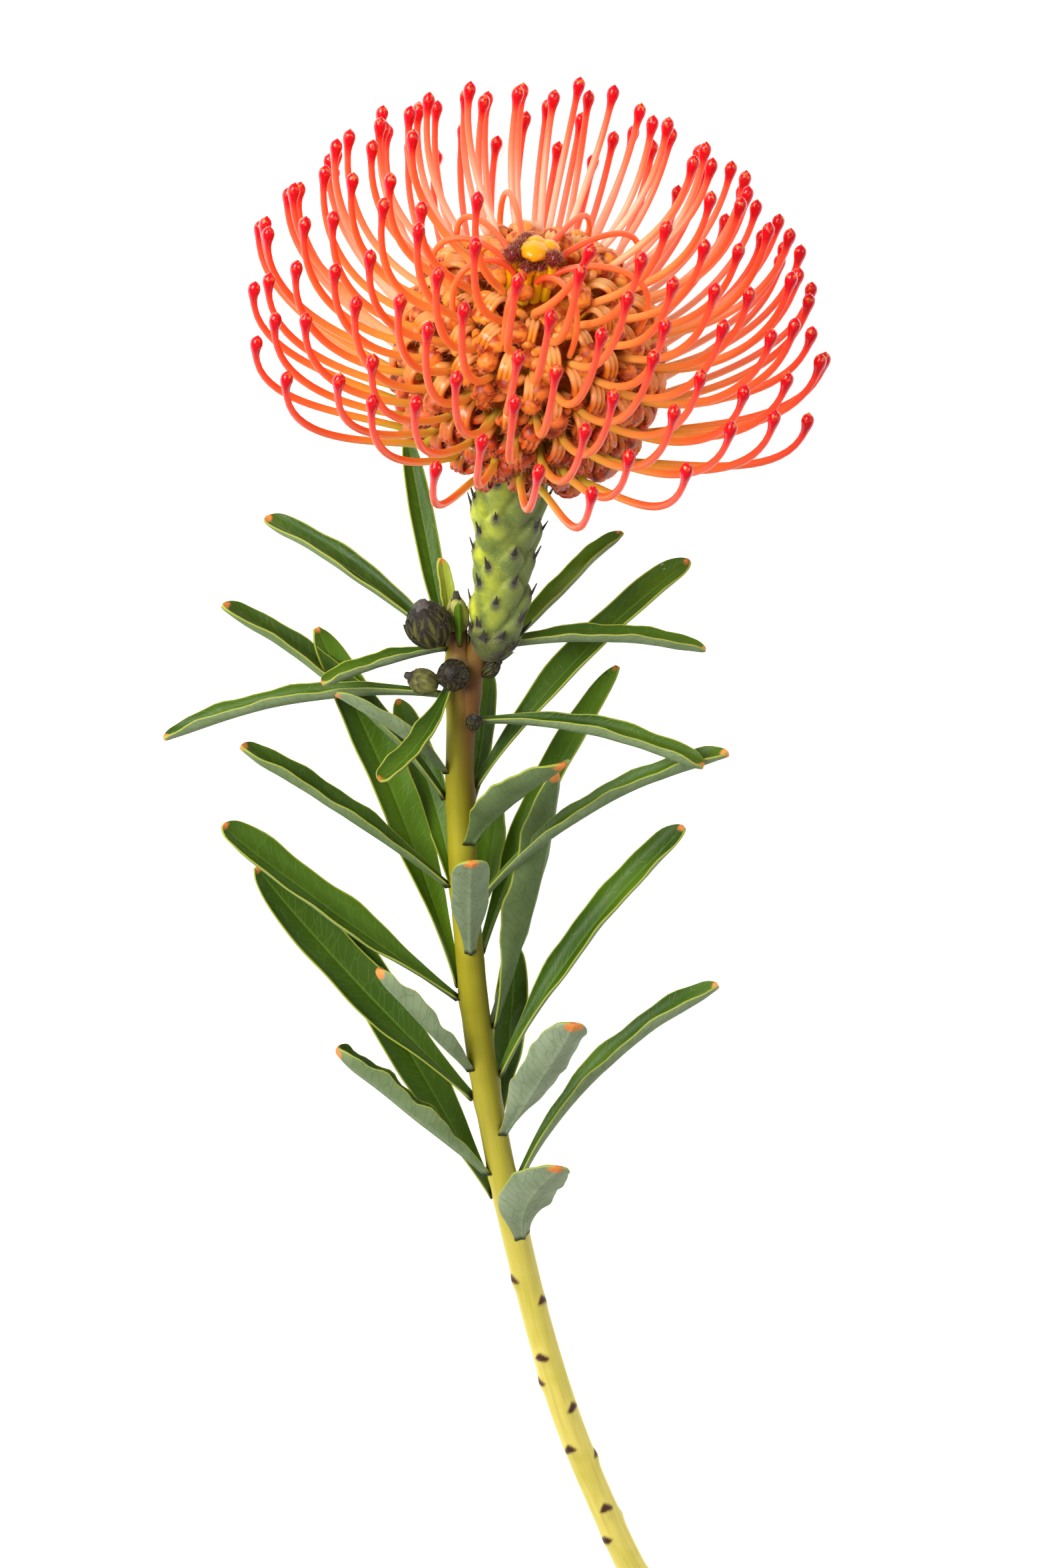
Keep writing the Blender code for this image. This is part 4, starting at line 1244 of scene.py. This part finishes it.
# Colours from the foot to the tip, for young styles, old ones and those of the far side
shades = []
for stops in ({0: "e0b850", 0.2: "f8a858", 0.4: "fc8c46", 0.68: "fa6832", 0.9: "f5422e"},
              {0: "bcbc30", 0.2: "d6be38", 0.36: "f6a440", 0.56: "fa7032", 0.9: "f5422e"},
              {0: "f0dcb0", 0.2: "fad8c0", 0.42: "fbb494", 0.7: "fa8058", 0.9: "f85436"}):
    ramp = add_node(tree, "ShaderNodeValToRGB", (mark["share"],))
    while len(ramp.color_ramp.elements) < len(stops):
        ramp.color_ramp.elements.new(0.5)
    for element, (place, colour) in zip(ramp.color_ramp.elements, stops.items()):
        element.position = place
        element.color = linear(colour)
    shades.append(ramp.outputs[0])
pollen = add_node(tree, "ShaderNodeTexNoise", {"Vector": where, "Scale": 1500.0, "Detail": 1.0})
shaft = lay_coats(tree, shades[0],
                  (shades[1], mark["tone"]),
                  (shades[2], mark["pale"]),
                  ("cc0418", (mark["to_tip"], 3.2, 5.5, 1, 0)),
                  ("e8823a", (mark["to_tip"], 0.6, 1.8, 1, 0), (pollen, 0.52, 0.66, 0, 0.8)))
dress(tree, shader, Base_Color=shaft, Normal=(pollen, 0.12, 0.0001), Roughness=add_node(
    tree, "ShaderNodeMapRange", (mark["to_tip"], 3, 6, 0.16, 0.42)))

shapes = shape_set("covers", cover_shapes)
for spiral in range(SPIRALS):
    first = math.ceil((FIRST_FLORET - NEXT_SPIRAL * spiral) / SPIRALS)
    rods, places = [], []
    for step in range(PER_SPIRAL):
        number = SPIRALS * (first + step) + NEXT_SPIRAL * spiral
        turn = number * GOLDEN_ANGLE
        foot = on_egg(floret_tilt(number), turn, RECEPTACLE)
        route = style_route(number)
        line = [foot + (route[0] - foot) * share for share in (0.2, 0.8)]
        line += [bezier(*route, share / CURVE_STEPS) for share in range(CURVE_STEPS + 1)]
        pale = 0.9 * smoothstep(-math.sin(math.radians(turn)), -0.1, 0.7)
        rods.append(style_points(smooth_route(line, 3), floret_age(number), pale))
        places.append(cover_place(number))
    name = f"spiral_{spiral + 1:02d}"
    put_on(sweep(name + "_styles", rods), name + "_styles", "floret", f"floret_{name}")
    put_on(plant_copies(name + "_covers", places, shapes, cover), name + "_covers", "floret")


# ------------------------------------------------------------------------------------------------
# Centre. The youngest florets are still closed: yellow tubes with a shiny golden or a dark hairy limb
# on top. Around them the covers of nine more have just split, but their styles are still held by
# their tips and bow out in loops.
HOOKED_STYLES = [20, 69, 106, 140, 171, 208, 244, 294, 328]   # degrees around the axis
HOOK_RADIUS = 0.92 * STYLE_RADIUS
HOOK_STEPS = 30
CLEARING = 6                              # radius round the closed florets that is free of covers
TUBE_RADIUS = 0.96
TUBE_HEIGHT = 9.8
TUBE_STEPS = 21
TUBE_SIDES = 16
CLOSED_FLORETS = 10
CLOSED_SPACING = 1.14
CENTRE_SHIFT = RIGHT * -2.4 + UPWARD * 6.2 - AXIS * 2.6
# Kinds of closed floret: the limb's radius, whether it is dark and lobed, and the share of the height
# where it begins
CLOSED_KINDS = [(2.1, False, 0.7), (1.5, True, 0.7), (1.12, True, 0.85)]
CLOSED_MARKS = "share limb hairy"
CLOSED_HAIRS = (5e6, 1.2, 0.05, 0.7)

places = []
for number in range(2, FIRST_FLORET):
    near = on_head(HEAD_RADIUS * math.sin(floret_tilt(number)), 20, number * GOLDEN_ANGLE) - on_head(0, 20, 0)
    near -= CENTRE_SHIFT + UPWARD * 3
    if (near - AXIS * near.dot(AXIS)).length >= CLEARING:
        places.append(cover_place(number))
put_on(plant_copies("centre_covers", places, shapes, cover), "centre_covers", "centre")
drop_shapes(shapes)

# Young petal tissue, still taut: bright yellow, glossy and slightly translucent, under maroon hairs.
closed, tree, shader, where, mark = new_finish(
    "closed_yellow_floret", CLOSED_MARKS + " hair", IOR=1.45, Roughness=0.2, Specular_IOR_Level=0.5,
    Subsurface_Weight=0.2, Subsurface_Radius=(1.0, 0.7, 0.15), Subsurface_Scale=0.001)
closed_colour = lay_coats(tree, "e0bc10",
                          ("fccc10", mark["share"]),
                          ("f6a80c", mark["limb"]),
                          ("6e1e1a", mark["hairy"]),
                          ("b0603c", mark["hair"]))
dress(tree, shader, Base_Color=closed_colour)

closed_shapes = []
for limb_radius, dark, split in CLOSED_KINDS:
    rings = []
    for step in range(TUBE_STEPS + 1):
        up = step / TUBE_STEPS
        ring = []
        for place in range(TUBE_SIDES):
            turn = 2 * math.pi * place / TUBE_SIDES
            radius = TUBE_RADIUS * (0.95 + 0.08 * math.cos(4 * turn))
            if up > 0.7:
                dome = math.sqrt(max(0.002, 1 - ((up - 0.84) / 0.162) ** 2))
                lobed = 1 + (0.2 if dark else 0.05) * math.cos(4 * turn)
                if dark:
                    lobed += 0.12 * math.sin(3 * turn + 60 * up)
                radius = max(limb_radius * dome * lobed, TUBE_RADIUS * 0.9 if up < 0.76 else 0.05)
            limb = smoothstep(up, split - 0.01, split + 0.03)
            fringe = 1 - smoothstep(up + 0.03 * math.sin(7 * turn), 0.77, 0.81)
            spot = Vector((radius * math.cos(turn), radius * math.sin(turn), TUBE_HEIGHT * up))
            ring.append((spot, up, limb, limb if dark else limb * fringe))
        rings.append(ring)
    closed_mesh = level(skin("closed_floret", [rings], CLOSED_MARKS, closed))
    closed_shapes.append(with_hairs("closed_floret", closed_mesh, closed, 31, *CLOSED_HAIRS))

places = []
for number in range(CLOSED_FLORETS):
    chance = random.Random(900 + number)
    turn, radius = number * GOLDEN_ANGLE, CLOSED_SPACING * math.sqrt(number)
    foot = on_head(radius, 21.2 + chance.uniform(-0.3, 0.3), turn) + CENTRE_SHIFT
    outwards = (AXIS + (on_head(radius, 0, turn) - HEAD_CENTRE) * 0.02).normalized()
    side = outwards.cross(UPWARD).normalized()
    golden = -0.9 < radius * math.cos(math.radians(turn)) < 3
    size = chance.uniform(0.96, 1.06)
    if golden and math.sin(math.radians(turn)) > 0.3 and number > 0:
        sizes, kind = (size * 1.15, size * 1.15, size * 0.82), 2
    else:
        size *= 1.42 if number == 0 else 0.95
        sizes, kind = (size, size, 1.08), 0 if golden else 1
    places.append((foot, side, outwards.cross(side), outwards, sizes, kind, 0.0))
shapes = shape_set("closed", closed_shapes)
centre_mesh = plant_copies("closed_florets", places, shapes, closed)
put_on(centre_mesh, "closed_florets", "centre", "centre_florets")
drop_shapes(shapes)

rods = []
for turn in HOOKED_STYLES:
    out = random.Random(turn).uniform(-2.5, 1)
    held = [on_head(3.6, 26, turn) + CENTRE_SHIFT, on_head(8, 30.5 + 0.4 * out, turn) + CENTRE_SHIFT * 0.6,
            on_head(25 + out, 30 + out, turn), on_head(18.5 + out, 14, turn)]
    line = [bezier(*held, 1 - step / HOOK_STEPS) for step in range(HOOK_STEPS + 1)]
    whole = route_length(line)
    rod = []
    for step in range(HOOK_STEPS + 1):
        station = whole * step / HOOK_STEPS
        spot, _ = walk(line, station)
        rod.append((spot, HOOK_RADIUS * MM, 8 + whole - station, 0.42 + 0.38 * station / whole, 0.2, 0.0))
    rods.append(rod)
put_on(sweep("hooked_styles", rods), "hooked_styles", "centre")
